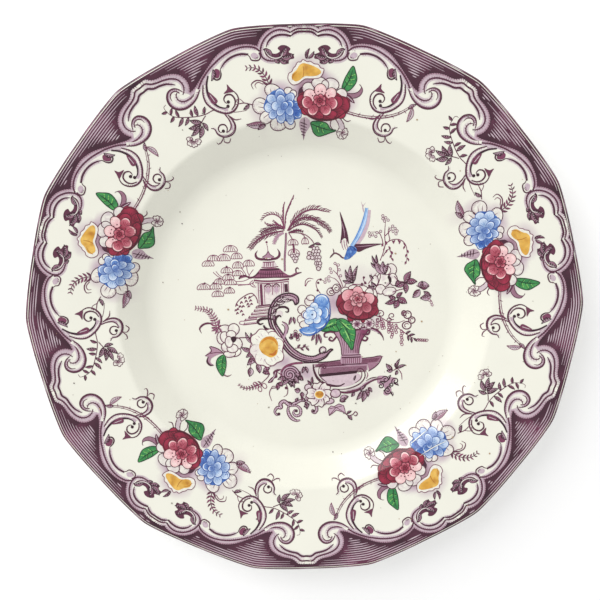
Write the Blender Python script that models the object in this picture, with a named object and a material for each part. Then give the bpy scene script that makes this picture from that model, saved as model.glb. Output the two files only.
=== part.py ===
"""Dinner plate in glazed earthenware: flat well, steep shoulder, broad rim with fourteen soft sides.

The plate stands on its foot ring at z = 0, centred on the Z axis, with +Z up and out of the well.
A corner of the rim lies on +X, so +Y crosses the middle of a side. Metres throughout.
"""

import math

import bmesh
import bpy

MM = 0.001

# Driving dimensions
RIM_RADIUS = 133.0 * MM       # axis to a corner of the rim
RIM_HEIGHT = 23.0 * MM        # foot to where the rim's top would meet its edge, without the rounding
WALL = 4.1 * MM               # thickness of the well floor
RIM_THICKNESS = 3.8 * MM
SIDES = 14                    # soft corners around the rim
SIDE_FLATNESS = 0.58          # 0 is a round rim, 1 is a straight-sided polygon
CORNER_SOFTNESS = 0.022       # radians either side of a corner over which it is rounded

# The turned profile, from the foot up
RECESS = 1.9 * MM             # how far the base stands clear inside the foot ring
FOOT_INNER_RADIUS = 71.8 * MM
FOOT_OUTER_RADIUS = 74.6 * MM
FOOT_DRAFT = 1.3 * MM         # each wall of the foot ring leans this much
WELL_RADIUS = 76.0 * MM       # where the floor would meet the shoulder, without its fillet
SHOULDER_RADIUS = 91.0 * MM   # where the shoulder would meet the rim
SHOULDER_TOP = RIM_HEIGHT - 6.0 * MM
WELL_FILLET = 14.0 * MM
SHOULDER_FILLET = 5.0 * MM
FLOOR_TOP = RECESS + WALL

# Mesh fineness
SEGMENTS_PER_SIDE = 6
FILLET_STEPS = 5
LIP_STEPS = 3
FLOOR_RINGS = 3
RIM_RINGS = 3

CREAM_GLAZE = (0.83, 0.81, 0.73, 1.0)


def filleted(corners):
    """Profile points for a list of (radius, height, fillet radius, steps) corners, with arcs at the fillets."""
    points = []
    for index, (r, z, fillet, steps) in enumerate(corners):
        if not fillet:
            points.append((r, z))
            continue
        before, after = corners[index - 1], corners[index + 1]
        to_before = math.atan2(before[1] - z, before[0] - r)
        to_after = math.atan2(after[1] - z, after[0] - r)
        half = abs(math.remainder(to_after - to_before, math.tau)) / 2
        bisector = math.atan2(
            math.sin(to_before) + math.sin(to_after), math.cos(to_before) + math.cos(to_after)
        )
        centre_r = r + fillet / math.sin(half) * math.cos(bisector)
        centre_z = z + fillet / math.sin(half) * math.sin(bisector)
        sweep = math.pi - 2 * half
        turn = math.copysign(1, math.remainder(to_after - to_before, math.tau))
        start = bisector + math.pi + turn * sweep / 2
        for step in range(steps + 1):
            angle = start - turn * sweep * step / steps
            points.append((centre_r + fillet * math.cos(angle), centre_z + fillet * math.sin(angle)))
    return points


def spread(start, end, count):
    """Points between two profile points, leaving out both ends."""
    return [
        (start[0] + (end[0] - start[0]) * i / count, start[1] + (end[1] - start[1]) * i / count, 0, 0)
        for i in range(1, count)
    ]


def plate_profile():
    """The outline of half a section, from the middle of the base, under and round the rim, to the well's centre."""
    lip = 0.49 * RIM_THICKNESS
    base_edge = (FOOT_INNER_RADIUS - FOOT_DRAFT, RECESS)
    under_shoulder = (SHOULDER_RADIUS + 1.5 * MM, SHOULDER_TOP - 0.9 * WALL)
    rim_under = (RIM_RADIUS, RIM_HEIGHT - RIM_THICKNESS)
    rim_top = (RIM_RADIUS, RIM_HEIGHT)
    shoulder = (SHOULDER_RADIUS, SHOULDER_TOP)
    corners = [
        (0, RECESS, 0, 0),
        *spread((0, RECESS), base_edge, FLOOR_RINGS),
        (*base_edge, 0, 0),
        (FOOT_INNER_RADIUS, 0, 0, 0),
        (FOOT_OUTER_RADIUS, 0, 0, 0),
        (FOOT_OUTER_RADIUS + FOOT_DRAFT, 0.9 * RECESS, 0, 0),
        (*under_shoulder, SHOULDER_FILLET + WALL, FILLET_STEPS),
        *spread(under_shoulder, rim_under, RIM_RINGS)[1:],
        (*rim_under, lip, LIP_STEPS),
        (*rim_top, lip, LIP_STEPS),
        *spread(rim_top, shoulder, RIM_RINGS),
        (*shoulder, SHOULDER_FILLET, FILLET_STEPS),
        (WELL_RADIUS, FLOOR_TOP, WELL_FILLET, FILLET_STEPS),
        *spread((WELL_RADIUS, FLOOR_TOP), (0, FLOOR_TOP), FLOOR_RINGS)[1:],
        (0, FLOOR_TOP, 0, 0),
    ]
    return filleted(corners)


def side_scale(angle):
    """Radius of the soft-sided rim at this angle, as a share of the radius at a corner."""
    half = math.pi / SIDES
    to_corner = math.hypot(math.remainder(angle, 2 * half), CORNER_SOFTNESS) - CORNER_SOFTNESS
    straight = math.cos(half) / math.cos(half - to_corner)
    return 1 + SIDE_FLATNESS * (straight - 1)


def give_sides(mesh):
    """Draws the turned form in to its fourteen sides: not at all in the well, and fully at the rim's edge."""
    for vert in mesh.verts:
        radius = math.hypot(vert.co.x, vert.co.y)
        share = (radius - FOOT_OUTER_RADIUS) / (RIM_RADIUS - FOOT_OUTER_RADIUS)
        share = min(max(share, 0.0), 1.0)
        scale = 1 + share * (side_scale(math.atan2(vert.co.y, vert.co.x)) - 1)
        vert.co.x *= scale
        vert.co.y *= scale


def plate_body():
    """The whole plate: well, shoulder, rim and foot ring are one piece of fired clay."""
    mesh = bmesh.new()
    verts = [mesh.verts.new((r, 0, z)) for r, z in plate_profile()]
    edges = [mesh.edges.new(pair) for pair in zip(verts, verts[1:])]
    bmesh.ops.spin(
        mesh,
        geom=verts + edges,
        cent=(0, 0, 0),
        axis=(0, 0, 1),
        angle=math.tau,
        steps=SIDES * SEGMENTS_PER_SIDE,
        use_merge=True,
    )
    bmesh.ops.remove_doubles(mesh, verts=mesh.verts, dist=0.01 * MM)
    bmesh.ops.dissolve_degenerate(mesh, dist=0.001 * MM, edges=mesh.edges)
    give_sides(mesh)
    bmesh.ops.recalc_face_normals(mesh, faces=mesh.faces)
    data = bpy.data.meshes.new("plate_body")
    mesh.to_mesh(data)
    mesh.free()
    data.shade_smooth()
    data.set_sharp_from_angle(angle=math.radians(40))
    return bpy.data.objects.new("plate_body", data)


def glaze_material():
    """Cream-white lead glaze over earthenware."""
    material = bpy.data.materials.new("glazed_earthenware")
    material.use_nodes = True
    shader = material.node_tree.nodes["Principled BSDF"]
    shader.inputs["Base Color"].default_value = CREAM_GLAZE
    shader.inputs["Roughness"].default_value = 0.12
    shader.inputs["Metallic"].default_value = 0.0
    return material


def main():
    for obj in list(bpy.data.objects):
        bpy.data.objects.remove(obj)
    plate = plate_body()
    plate.data.materials.append(glaze_material())
    bpy.context.scene.collection.objects.link(plate)


main()
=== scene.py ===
"""A printed and enamelled dinner plate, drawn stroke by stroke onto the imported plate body.

The artwork is drawn flat, in millimetres, looking down on the plate: x to the right, y to the top of
the picture, the plate's axis at (0, 0). Each stroke or patch is then laid on the plate's surface as a
film a few hundredths of a millimetre thick. Later layers lie higher, as they do on the real plate.
"""

import math

import bpy
import numpy as np
from mathutils import Matrix, Vector
from mathutils.geometry import delaunay_2d_cdt


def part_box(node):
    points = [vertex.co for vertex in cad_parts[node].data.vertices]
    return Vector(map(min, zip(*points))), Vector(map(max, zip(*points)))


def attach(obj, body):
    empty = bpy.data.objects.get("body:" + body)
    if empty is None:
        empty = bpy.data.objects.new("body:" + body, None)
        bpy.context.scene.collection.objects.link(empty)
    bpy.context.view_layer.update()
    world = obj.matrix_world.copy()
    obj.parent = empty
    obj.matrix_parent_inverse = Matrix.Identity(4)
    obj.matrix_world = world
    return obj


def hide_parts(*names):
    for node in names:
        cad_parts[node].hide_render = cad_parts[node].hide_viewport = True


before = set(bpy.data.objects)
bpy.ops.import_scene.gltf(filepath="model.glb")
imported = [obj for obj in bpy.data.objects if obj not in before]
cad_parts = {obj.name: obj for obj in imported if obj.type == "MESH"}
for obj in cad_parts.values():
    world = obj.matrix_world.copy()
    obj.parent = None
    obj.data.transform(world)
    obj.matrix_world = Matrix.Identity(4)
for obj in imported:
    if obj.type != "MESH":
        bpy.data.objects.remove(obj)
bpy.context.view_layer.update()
MM = 0.001
TINY = 1e-9
rng = np.random.default_rng(7)

# ---------------------------------------------------------------- the plate's form, as in the CAD

BOX_LOW, BOX_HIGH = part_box("plate_body")
RIM_RADIUS = BOX_HIGH[0] / MM
RIM_HEIGHT = 23.0
WALL = 4.1
RIM_THICKNESS = 3.8
SIDES = 14
SIDE_FLATNESS = 0.58
CORNER_SOFTNESS = 0.022
RECESS = 1.9
FOOT_INNER_RADIUS = 71.8
FOOT_OUTER_RADIUS = 74.6
FOOT_DRAFT = 1.3
WELL_RADIUS = 76.0
SHOULDER_RADIUS = 91.0
SHOULDER_TOP = RIM_HEIGHT - 6.0
WELL_FILLET = 14.0
SHOULDER_FILLET = 5.0
FLOOR_TOP = RECESS + WALL
LIP_FILLET = 0.49 * RIM_THICKNESS
PANELS = 5                    # repeats of the border
PANEL_TURN = 360 / PANELS


def filleted(corners):
    """Profile points for (radius, height, fillet radius, steps) corners, with arcs at the fillets."""
    points = []
    for index, (r, z, fillet, steps) in enumerate(corners):
        if not fillet:
            points.append((r, z))
            continue
        before, after = corners[index - 1], corners[index + 1]
        to_before = math.atan2(before[1] - z, before[0] - r)
        to_after = math.atan2(after[1] - z, after[0] - r)
        half = abs(math.remainder(to_after - to_before, math.tau)) / 2
        bisector = math.atan2(
            math.sin(to_before) + math.sin(to_after), math.cos(to_before) + math.cos(to_after)
        )
        centre_r = r + fillet / math.sin(half) * math.cos(bisector)
        centre_z = z + fillet / math.sin(half) * math.sin(bisector)
        sweep = math.pi - 2 * half
        turn = math.copysign(1, math.remainder(to_after - to_before, math.tau))
        start = bisector + math.pi + turn * sweep / 2
        for step in range(steps + 1):
            angle = start - turn * sweep * step / steps
            points.append((centre_r + fillet * math.cos(angle), centre_z + fillet * math.sin(angle)))
    return points


def spread(start, end, gap):
    """Corners at about this gap along a straight stretch of the profile, leaving out both ends."""
    count = max(1, round(math.dist(start, end) / gap))
    return [
        (start[0] + (end[0] - start[0]) * i / count, start[1] + (end[1] - start[1]) * i / count, 0, 0)
        for i in range(1, count)
    ]


def top_profile():
    """The upper side of the section from the rim's edge to the centre, as (radius, height) points."""
    rim_under = (RIM_RADIUS, RIM_HEIGHT - RIM_THICKNESS)
    rim_top = (RIM_RADIUS, RIM_HEIGHT)
    shoulder = (SHOULDER_RADIUS, SHOULDER_TOP)
    well = (WELL_RADIUS, FLOOR_TOP)
    return filleted([
        (*rim_under, 0, 0),
        (*rim_top, LIP_FILLET, 10),
        *spread(rim_top, shoulder, 1.3)[2:-3],
        (*shoulder, SHOULDER_FILLET, 10),
        (*well, WELL_FILLET, 12),
        *spread(well, (0, FLOOR_TOP), 1.5)[4:],
        (0, FLOOR_TOP, 0, 0),
    ])[1:]


def under_profile():
    """The lower side of the section from the centre of the base to the rim's edge."""
    base_edge = (FOOT_INNER_RADIUS - FOOT_DRAFT, RECESS)
    under_shoulder = (SHOULDER_RADIUS + 1.5, SHOULDER_TOP - 0.9 * WALL)
    rim_under = (RIM_RADIUS, RIM_HEIGHT - RIM_THICKNESS)
    return filleted([
        (0, RECESS, 0, 0),
        *spread((0, RECESS), base_edge, 5.0),
        (*base_edge, 0.6, 3),
        (FOOT_INNER_RADIUS, 0, 0.5, 3),
        (FOOT_OUTER_RADIUS, 0, 0.5, 3),
        (FOOT_OUTER_RADIUS + FOOT_DRAFT, 0.9 * RECESS, 0.6, 3),
        (*under_shoulder, SHOULDER_FILLET + WALL, 8),
        *spread(under_shoulder, rim_under, 3.0)[2:],
        (*rim_under, LIP_FILLET, 8),
        (RIM_RADIUS, RIM_HEIGHT, 0, 0),
    ])[:-1]


TOP = np.array(top_profile())[::-1]


def side_scale(angle):
    """Radius of the soft-sided rim at this angle, as a share of the radius at a corner."""
    half = math.pi / SIDES
    from_corner = (np.asarray(angle) + half) % (2 * half) - half
    to_corner = np.hypot(from_corner, CORNER_SOFTNESS) - CORNER_SOFTNESS
    straight = math.cos(half) / np.cos(half - to_corner)
    return 1 + SIDE_FLATNESS * (straight - 1)


def turned_radius(x, y):
    """The radius that a point had before the rim was drawn in to its sides."""
    k = (side_scale(np.arctan2(y, x)) - 1) / (RIM_RADIUS - FOOT_OUTER_RADIUS)
    reach = np.hypot(x, y)
    linear = 1 - FOOT_OUTER_RADIUS * k
    safe = np.where(k < -1e-7, k, -1e-7)
    root = (-linear + np.sqrt(linear * linear + 4 * safe * reach)) / (2 * safe)
    return np.where(reach > FOOT_OUTER_RADIUS, root, reach)


def surface_height(x, y):
    return np.interp(turned_radius(x, y), TOP[:, 0], TOP[:, 1])


def surface_normals(x, y):
    gap = 0.15
    slope_x = (surface_height(x + gap, y) - surface_height(x - gap, y)) / (2 * gap)
    slope_y = (surface_height(x, y + gap) - surface_height(x, y - gap)) / (2 * gap)
    normals = np.stack([-slope_x, -slope_y, np.ones_like(slope_x)], -1)
    return normals / np.linalg.norm(normals, axis=-1, keepdims=True)


def at_rim(turned, angle):
    """The point at this angle, in radians, and this radius from before the sides were drawn in."""
    share = np.clip((turned - FOOT_OUTER_RADIUS) / (RIM_RADIUS - FOOT_OUTER_RADIUS), 0, 1)
    reach = turned * (1 + share * (side_scale(angle) - 1))
    return np.stack([reach * np.cos(angle), reach * np.sin(angle)], -1)


# ---------------------------------------------------------------- colour

def linear(red, green, blue):
    """An sRGB colour, given as 0 to 255, as the linear values that shaders use."""
    c = np.array([red, green, blue]) / 255
    return np.where(c <= 0.04045, c / 12.92, ((c + 0.055) / 1.055) ** 2.4)


GLAZE = linear(236, 235, 222)
INK = linear(48, 12, 30)
NAVY = linear(24, 38, 92)
MAROON = linear(70, 8, 28)
DARK_GREEN = linear(14, 48, 26)


def ink(tone):
    """The print's colour at a tone from 0, bare glaze, through lilac and mulberry to 1, full aubergine."""
    tone = np.asarray(tone, float)[..., None]
    mulberry = linear(126, 62, 92)
    lilac = linear(196, 176, 186)
    low = GLAZE + (lilac - GLAZE) * np.clip(tone / 0.25, 0, 1)
    mid = low + (mulberry - low) * np.clip((tone - 0.25) / 0.4, 0, 1)
    return mid + (INK - mid) * np.clip((tone - 0.65) / 0.35, 0, 1)


# ---------------------------------------------------------------- flat geometry

def headings(path):
    """Unit vectors along a path, one at each of its points."""
    along = np.gradient(path, axis=0)
    return along / np.maximum(np.linalg.norm(along, axis=1, keepdims=True), TINY)


def closed(outline):
    """An outline with its first point again at its end."""
    return np.vstack([outline, outline[:1]])


def left_of(vectors):
    """The same vectors turned a quarter anticlockwise."""
    return np.column_stack([-vectors[:, 1], vectors[:, 0]])


def lengths_along(path):
    """How far along a path each of its points lies, in mm."""
    return np.concatenate([[0], np.cumsum(np.linalg.norm(np.diff(path, axis=0), axis=1))])


def point_at(path, lengths, at):
    """The point of a path at this distance along it, or the points at these distances."""
    return np.stack([np.interp(at, lengths, path[:, i]) for i in (0, 1)], -1)


def band_faces(count, rows=2):
    """Triangles between neighbouring rows of this many points each."""
    i = np.arange(count - 1)
    return np.vstack([
        face + row * count
        for row in range(rows - 1)
        for face in (
            np.column_stack([i, i + 1, i + count]), np.column_stack([i + 1, i + count + 1, i + count])
        )
    ])


def from_point(x, y, degrees, reach):
    """The point at this distance from (x, y) in this direction."""
    return x + reach * math.cos(math.radians(degrees)), y + reach * math.sin(math.radians(degrees))


def curve(points, gap=0.35):
    """Evenly spaced points along a smooth curve through the given ones."""
    p = np.asarray(points, float)
    if len(p) == 2:
        count = max(2, int(math.dist(p[0], p[1]) / gap) + 1)
        return np.linspace(p[0], p[1], count)
    ends = np.vstack([2 * p[0] - p[1], p, 2 * p[-1] - p[-2]])
    knots = np.concatenate([[0], np.cumsum(np.sqrt(np.linalg.norm(np.diff(ends, axis=0), axis=1)) + 1e-9)])
    pieces = []
    for i in range(1, len(ends) - 2):
        t0, t1, t2, t3 = knots[i - 1:i + 3]
        count = max(2, int(math.dist(ends[i], ends[i + 1]) / gap) + 1)
        t = np.linspace(t1, t2, count, endpoint=False)[:, None]
        a1 = (t1 - t) / (t1 - t0) * ends[i - 1] + (t - t0) / (t1 - t0) * ends[i]
        a2 = (t2 - t) / (t2 - t1) * ends[i] + (t - t1) / (t2 - t1) * ends[i + 1]
        a3 = (t3 - t) / (t3 - t2) * ends[i + 1] + (t - t2) / (t3 - t2) * ends[i + 2]
        b1 = (t2 - t) / (t2 - t0) * a1 + (t - t0) / (t2 - t0) * a2
        b2 = (t3 - t) / (t3 - t1) * a2 + (t - t1) / (t3 - t1) * a3
        pieces.append((t2 - t) / (t2 - t1) * b1 + (t - t1) / (t2 - t1) * b2)
    return np.vstack([*pieces, p[-1:]])


def chain(*paths, gap=0.35):
    """Smooth curves joined end to end, with a corner where they meet."""
    return np.vstack([curve(path, gap) for path in paths])


def loop(points, gap=0.35):
    """Points round a smooth closed outline."""
    p = np.asarray(points, float)
    around = np.vstack([p[-2:], p, p[:3]])
    whole = curve(around, gap)
    first = int(np.argmin(np.linalg.norm(whole - p[0], axis=1)[: len(whole) // 2]))
    rest = whole[first + 3:]
    last = first + 3 + int(np.argmin(np.linalg.norm(rest - p[0], axis=1)))
    return whole[first:last]


def oval(x, y, rx, ry=None, turn=0.0, start=0.0, end=360.0, gap=0.35):
    """Points along an oval, or along part of one between two angles in degrees."""
    ry = rx if ry is None else ry
    count = max(7, int(math.radians(abs(end - start)) * max(rx, ry) / gap))
    a = np.radians(np.linspace(start, end, count))
    c, s = math.cos(math.radians(turn)), math.sin(math.radians(turn))
    u, v = rx * np.cos(a), ry * np.sin(a)
    return np.stack([x + c * u - s * v, y + s * u + c * v], -1)


def spiral(x, y, r0, r1, start, end, gap=0.3):
    """Points along a spiral whose radius goes from r0 to r1 between two angles in degrees."""
    count = max(8, int(math.radians(abs(end - start)) * (r0 + r1) / 2 / gap))
    a = np.radians(np.linspace(start, end, count))
    r = np.linspace(r0, r1, count)
    return np.stack([x + r * np.cos(a), y + r * np.sin(a)], -1)


def rotation(degrees):
    c, s = math.cos(math.radians(degrees)), math.sin(math.radians(degrees))
    return np.array([[c, s], [-s, c]])


def rotated(points, degrees):
    """Points turned anticlockwise about the plate's axis."""
    return np.asarray(points, float) @ rotation(degrees)


def mirrored(points):
    return np.asarray(points, float) * (-1, 1)


def inside(outline, points):
    """Which points lie within a closed outline."""
    x, y = points[:, 0], points[:, 1]
    result = np.zeros(len(points), bool)
    ax, ay = outline[:, 0], outline[:, 1]
    bx, by = np.roll(ax, -1), np.roll(ay, -1)
    for x0, y0, x1, y1 in zip(ax, ay, bx, by):
        if y0 != y1:
            crosses = (y0 > y) != (y1 > y)
            result ^= crosses & (x < (x1 - x0) * (y - y0) / (y1 - y0) + x0)
    return result


# ---------------------------------------------------------------- films on the surface

FILM_HEIGHT = 0.02            # mm that the lowest layer lies above the glaze
LAYER_STEP = 0.012            # mm between layers
RANK_STEP = 0.0004            # mm by which each mark of a motif lies over the one before it
LEVEL_RANKS = 100             # ranks between the levels of motifs that overlap one another
TO_RED = np.array([0.16, -0.25, 0.0])  # how full redness changes dark print's colour, by channel
FLAT = 9                      # mm between inner points in a fill of one colour, which needs none
TAPER = 0.35                  # share of a stroke's length over which each end tapers
SHADE_TAPER = 0.12            # share of a shaded band's length over which each end fades
LOOK_AHEAD = 0.2              # mm ahead of a point at which a stroke's direction is measured


class Film:
    """All the marks of one colour of print or enamel, gathered into one mesh."""

    rank = 0

    def __init__(self, name, redness=0.0):
        self.name = name
        self.redness = redness
        self.points = []
        self.faces = []
        self.colours = []
        self.heights = []
        self.count = 0

    def add(self, points, faces, colours, layer):
        Film.rank += 1
        height = FILM_HEIGHT + LAYER_STEP * layer + RANK_STEP * Film.rank
        self.points.append(points)
        self.faces.append(np.asarray(faces) + self.count)
        self.colours.append(np.broadcast_to(colours, (len(points), 3)))
        self.heights.append(np.broadcast_to(height, len(points)))
        self.count += len(points)

    def build(self, material, slot):
        flat = np.vstack(self.points)
        faces = np.vstack(self.faces)
        colours = np.vstack(self.colours)
        depth = np.clip(1 - colours[:, 1:2] / GLAZE[1], 0, 1)
        colours = colours * (1 + self.redness * depth * TO_RED)
        heights = np.concatenate(self.heights)
        normals = surface_normals(flat[:, 0], flat[:, 1])
        base = np.column_stack([flat, surface_height(flat[:, 0], flat[:, 1])])
        verts = (base + normals * heights[:, None]) * MM
        a, b, c = (flat[faces[:, i]] for i in range(3))
        area = (b[:, 0] - a[:, 0]) * (c[:, 1] - a[:, 1]) - (b[:, 1] - a[:, 1]) * (c[:, 0] - a[:, 0])
        faces[area < 0] = faces[area < 0][:, ::-1]
        faces = faces[np.abs(area) > 1e-6]
        mesh = bpy.data.meshes.new(self.name)
        mesh.from_pydata(verts.tolist(), [], faces.tolist())
        attribute = mesh.color_attributes.new("tint", "FLOAT_COLOR", "POINT")
        attribute.data.foreach_set("color", np.column_stack([colours, np.ones(len(colours))]).ravel())
        mesh.shade_smooth()
        mesh.normals_split_custom_set_from_vertices(normals.tolist())
        mesh.materials.append(material)
        piece = bpy.data.objects.new(self.name, mesh)
        bpy.context.scene.collection.objects.link(piece)
        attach(piece, "root")


def begin(level=0):
    """Starts a motif. A motif on a higher level covers the ones below it."""
    Film.rank = level * LEVEL_RANKS


def ribbon(film, path, width, tone=1.0, layer=3, start=1.0, end=1.0, colour=None):
    """A drawn line. width is in mm, and start and end are shares of it, for a line that tapers."""
    path = np.asarray(path, float)
    if len(path) < 2:
        return
    across = left_of(headings(path))
    t = np.linspace(0, 1, len(path))
    opening = np.minimum(1, start + (1 - start) * t / TAPER)
    closing = np.minimum(1, end + (1 - end) * (1 - t) / TAPER)
    half = (0.5 * width * opening * closing)[:, None]
    points = np.vstack([path + across * half, path - across * half])
    film.add(points, band_faces(len(path)), ink(tone) if colour is None else colour, layer)


def patch(film, outline, tone=1.0, layer=2, colour=None, cell=1.6):
    """A filled shape. colour may be a function of the points, for a brushed or shaded fill."""
    outline = np.asarray(outline, float)
    keep = np.linalg.norm(outline - np.roll(outline, 1, axis=0), axis=1) > 1e-3
    outline = outline[keep]
    low, high = outline.min(0), outline.max(0)
    xs = np.arange(low[0] + cell / 2, high[0], cell)
    ys = np.arange(low[1] + cell / 2, high[1], cell)
    inner = np.empty((0, 2))
    if len(xs) and len(ys):
        grid = np.stack(np.meshgrid(xs, ys), -1).reshape(-1, 2)
        grid[:, 0] += (np.round((grid[:, 1] - low[1]) / cell) % 2) * cell / 2
        inner = grid[inside(outline, grid)]
        if len(inner):
            gaps = np.linalg.norm(inner[:, None] - outline[None, ::2], axis=2).min(1)
            inner = inner[gaps > 0.35 * cell]
    points = np.vstack([outline, inner])
    rounds = [list(range(len(outline)))]
    found = delaunay_2d_cdt([Vector(p) for p in points], [], rounds, 1, 1e-5)
    verts = np.array([tuple(v) for v in found[0]])
    faces = [f for f in found[2] if len(f) == 3]
    if not faces:
        return
    if callable(colour):
        colour = colour(verts)
    film.add(verts, faces, ink(tone) if colour is None else colour, layer)


def wander(points, size, seed=0):
    """A smooth, uneven value from 0 to 1 over the plate, which changes over about this many mm."""
    p = np.asarray(points, float) / size
    total = np.zeros(len(p))
    for step in range(4):
        angle = 1.3 * seed + 2.1 * step
        along = p[:, 0] * math.cos(angle) + p[:, 1] * math.sin(angle)
        across = p[:, 1] * math.cos(angle) - p[:, 0] * math.sin(angle)
        total += np.sin((2.2 + 0.9 * step) * along + 1.7 * np.sin(1.3 * across + seed + step))
    return 0.5 + total / 8


class Pen:
    """Draws in its own frame, which is mirrored, shifted and turned about the plate's axis to its place."""

    def __init__(self, films, turn=0.0, shift=(0.0, 0.0), flip=False, last=(0.0, 0.0)):
        self.films = films
        self.turn = turn
        self.shift = np.asarray(shift, float)
        self.flip = flip
        self.last = np.asarray(last, float)

    def place(self, points):
        p = np.asarray(points, float)
        if self.flip:
            p = mirrored(p)
        return rotated(p + self.shift, self.turn) + self.last

    def path(self, points, width, tone=1.0, layer=3, start=1.0, end=1.0, colour=None, film="print"):
        ribbon(self.films[film], self.place(points), width, tone, layer, start, end, colour)

    def line(self, points, width, tone=1.0, layer=3, start=1.0, end=1.0, colour=None, film="print"):
        self.path(curve(points), width, tone, layer, start, end, colour, film)

    def area(self, outline, tone=1.0, layer=2, colour=None, film="print", cell=1.6):
        patch(self.films[film], self.place(outline), tone, layer, colour, cell)

    def fill(self, points, tone=1.0, layer=2, colour=None, film="print", cell=1.6):
        self.area(loop(points), tone, layer, colour, film, cell)

    def shade(self, points, width, tone, side=1, layer=1, fade=0.0):
        """A soft band along a smooth curve, darkest on the curve and fading out on one side of it."""
        path = np.asarray(points, float)
        across = left_of(headings(path)) * side
        t = np.linspace(0, 1, len(path))
        ends = np.clip(np.minimum(t, 1 - t) / SHADE_TAPER, 0, 1)
        rows = [path + across * width * share for share in (0, 0.5, 1)]
        tones = np.concatenate([tone * ends, 0.55 * tone * ends, fade * tone * ends])
        self.films["print"].add(
            self.place(np.vstack(rows)), band_faces(len(path), len(rows)), ink(tones), layer
        )


def hatch(pen, path, gap, reach, side=1, width=0.45, tone=0.7, layer=3, lean=0.5):
    """A row of fine engraved strokes that stand off one side of a line, of uneven length."""
    path = np.asarray(path, float)
    lengths = lengths_along(path)
    at = np.arange(gap, lengths[-1] - gap, gap)
    if not len(at):
        return
    near = point_at(path, lengths, at)
    along = point_at(path, lengths, at + LOOK_AHEAD) - near
    along /= np.maximum(np.linalg.norm(along, axis=1, keepdims=True), TINY)
    reaches = (reach * (0.55 + 0.45 * rng.random(len(at))))[:, None]
    far = near + (left_of(along) * side + lean * along) * reaches
    half = 0.5 * width * along
    points = np.vstack([near - half, near + half, far])
    i = np.arange(len(at))
    faces = np.column_stack([i, i + len(at), i + 2 * len(at)])
    pen.films["print"].add(pen.place(points), faces, ink(tone), layer)


# ---------------------------------------------------------------- motifs

def leaf_outline(base, tip, width, bend=0.0, belly=0.45):
    """A pointed leaf from base to tip, bowed to the left by a share of its length."""
    base, tip = np.asarray(base, float), np.asarray(tip, float)
    span = tip - base
    side = np.array([-span[1], span[0]])
    t = np.linspace(0, 1, 13)[:, None]
    spine = base + span * t + side * bend * 4 * t * (1 - t)
    power = math.log(0.5) / math.log(belly)
    half = 0.5 * width * np.sin(math.pi * t ** power)
    across = side / np.linalg.norm(side)
    return spine, spine + across * half, spine - across * half


def leaf(pen, base, tip, width, bend=0.0, tone=0.75, lit=0.35, layer=3, edge=0.28):
    """A printed leaf with a dark half, a lit half and a vein."""
    spine, left, right = leaf_outline(base, tip, width, bend)
    pen.area(np.vstack([spine, left[-2:0:-1]]), lit, layer, cell=FLAT)
    pen.area(np.vstack([spine, right[-2:0:-1]]), tone, layer, cell=FLAT)
    if edge:
        pen.path(left, edge, min(1, tone + 0.2), layer + 1)
        pen.path(right, edge, min(1, tone + 0.2), layer + 1)
        pen.path(spine, 0.8 * edge, 1.0, layer + 1, end=0.3)
    if width > 1.3:
        hatch(pen, curve(spine), 0.95, 0.42 * width, 1, 0.34, 0.85, layer + 1, 0.9)
        hatch(pen, curve(spine), 1.05, 0.4 * width, -1, 0.34, 0.2, layer + 1, 0.9)


def sprig(pen, stem, size, gap, width=0.35, tone=0.85, slim=0.42, spread_angle=48):
    """A stem with leaflets along both sides that get smaller towards its tip."""
    path = curve(stem)
    pen.path(path, width, tone, 3, end=0.4)
    lengths = lengths_along(path)
    total = lengths[-1]
    for number, at in enumerate(np.arange(0.25 * gap, total, gap)):
        x, y = point_at(path, lengths, at)
        ahead = point_at(path, lengths, min(at + 0.4, total))
        heading = math.degrees(math.atan2(ahead[1] - y, ahead[0] - x)) if at < total - 0.1 else 0
        length = size * (1 - 0.5 * at / total)
        for way in (1, -1):
            tip = from_point(x, y, heading + way * spread_angle, length)
            _, left, right = leaf_outline((x, y), tip, slim * length, 0.06 * way)
            pen.area(np.vstack([left, right[-2:0:-1]]), tone - 0.1 * (number % 3), 3, cell=FLAT)


def petal_outline(x, y, reach, width, turn, notch=0.12):
    """A round petal that grows from (x, y) in the direction turn, in degrees."""
    shape = [
        (0, 0), (0.35, 0.42), (0.72, 0.5), (0.96, 0.3), (1 - notch, 0), (0.96, -0.3), (0.72, -0.5),
        (0.35, -0.42),
    ]
    a = math.radians(turn)
    c, s = math.cos(a), math.sin(a)
    flat = [(reach * u, width * v) for u, v in shape]
    return loop([(x + u * c - v * s, y + u * s + v * c) for u, v in flat])


def white_petal(pen, x, y, reach, width, turn, edge=0.42, tone=0.9, wash=0.12, layer=3):
    """A petal left white, with an engraved edge and a few strokes rising from its root."""
    outline = petal_outline(x, y, reach, width, turn)
    root = pen.place([(x, y)])[0]

    def tint(points):
        near = 1 - np.linalg.norm(points - root, axis=1) / reach
        return ink(wash * np.clip(1.6 * near, 0, 1.2))

    pen.area(outline, 0, layer, tint, cell=1.1)
    pen.path(closed(outline), edge, tone, layer)
    for ray in (-22, 0, 22):
        near, far = (from_point(x, y, turn + ray, share * reach) for share in (0.22, 0.62))
        pen.line([near, far], 0.28, 0.7, layer, end=0.3)


def dots(pen, centres, radius, tone=1.0, layer=5, colour=None, film="print"):
    for x, y in centres:
        pen.area(oval(x, y, radius, gap=0.25)[:-1], tone, layer, colour, film, cell=FLAT)


def rings(pen, centres, radius, tone=0.85, layer=4):
    """Small round buds or fruits, white inside with a drawn edge."""
    for x, y in centres:
        pen.area(oval(x, y, radius, gap=0.25)[:-1], 0.12, layer, cell=FLAT)
        pen.path(oval(x, y, radius, gap=0.2), 0.42 * radius, tone, layer)


# ---------------------------------------------------------------- the border's frame

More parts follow.
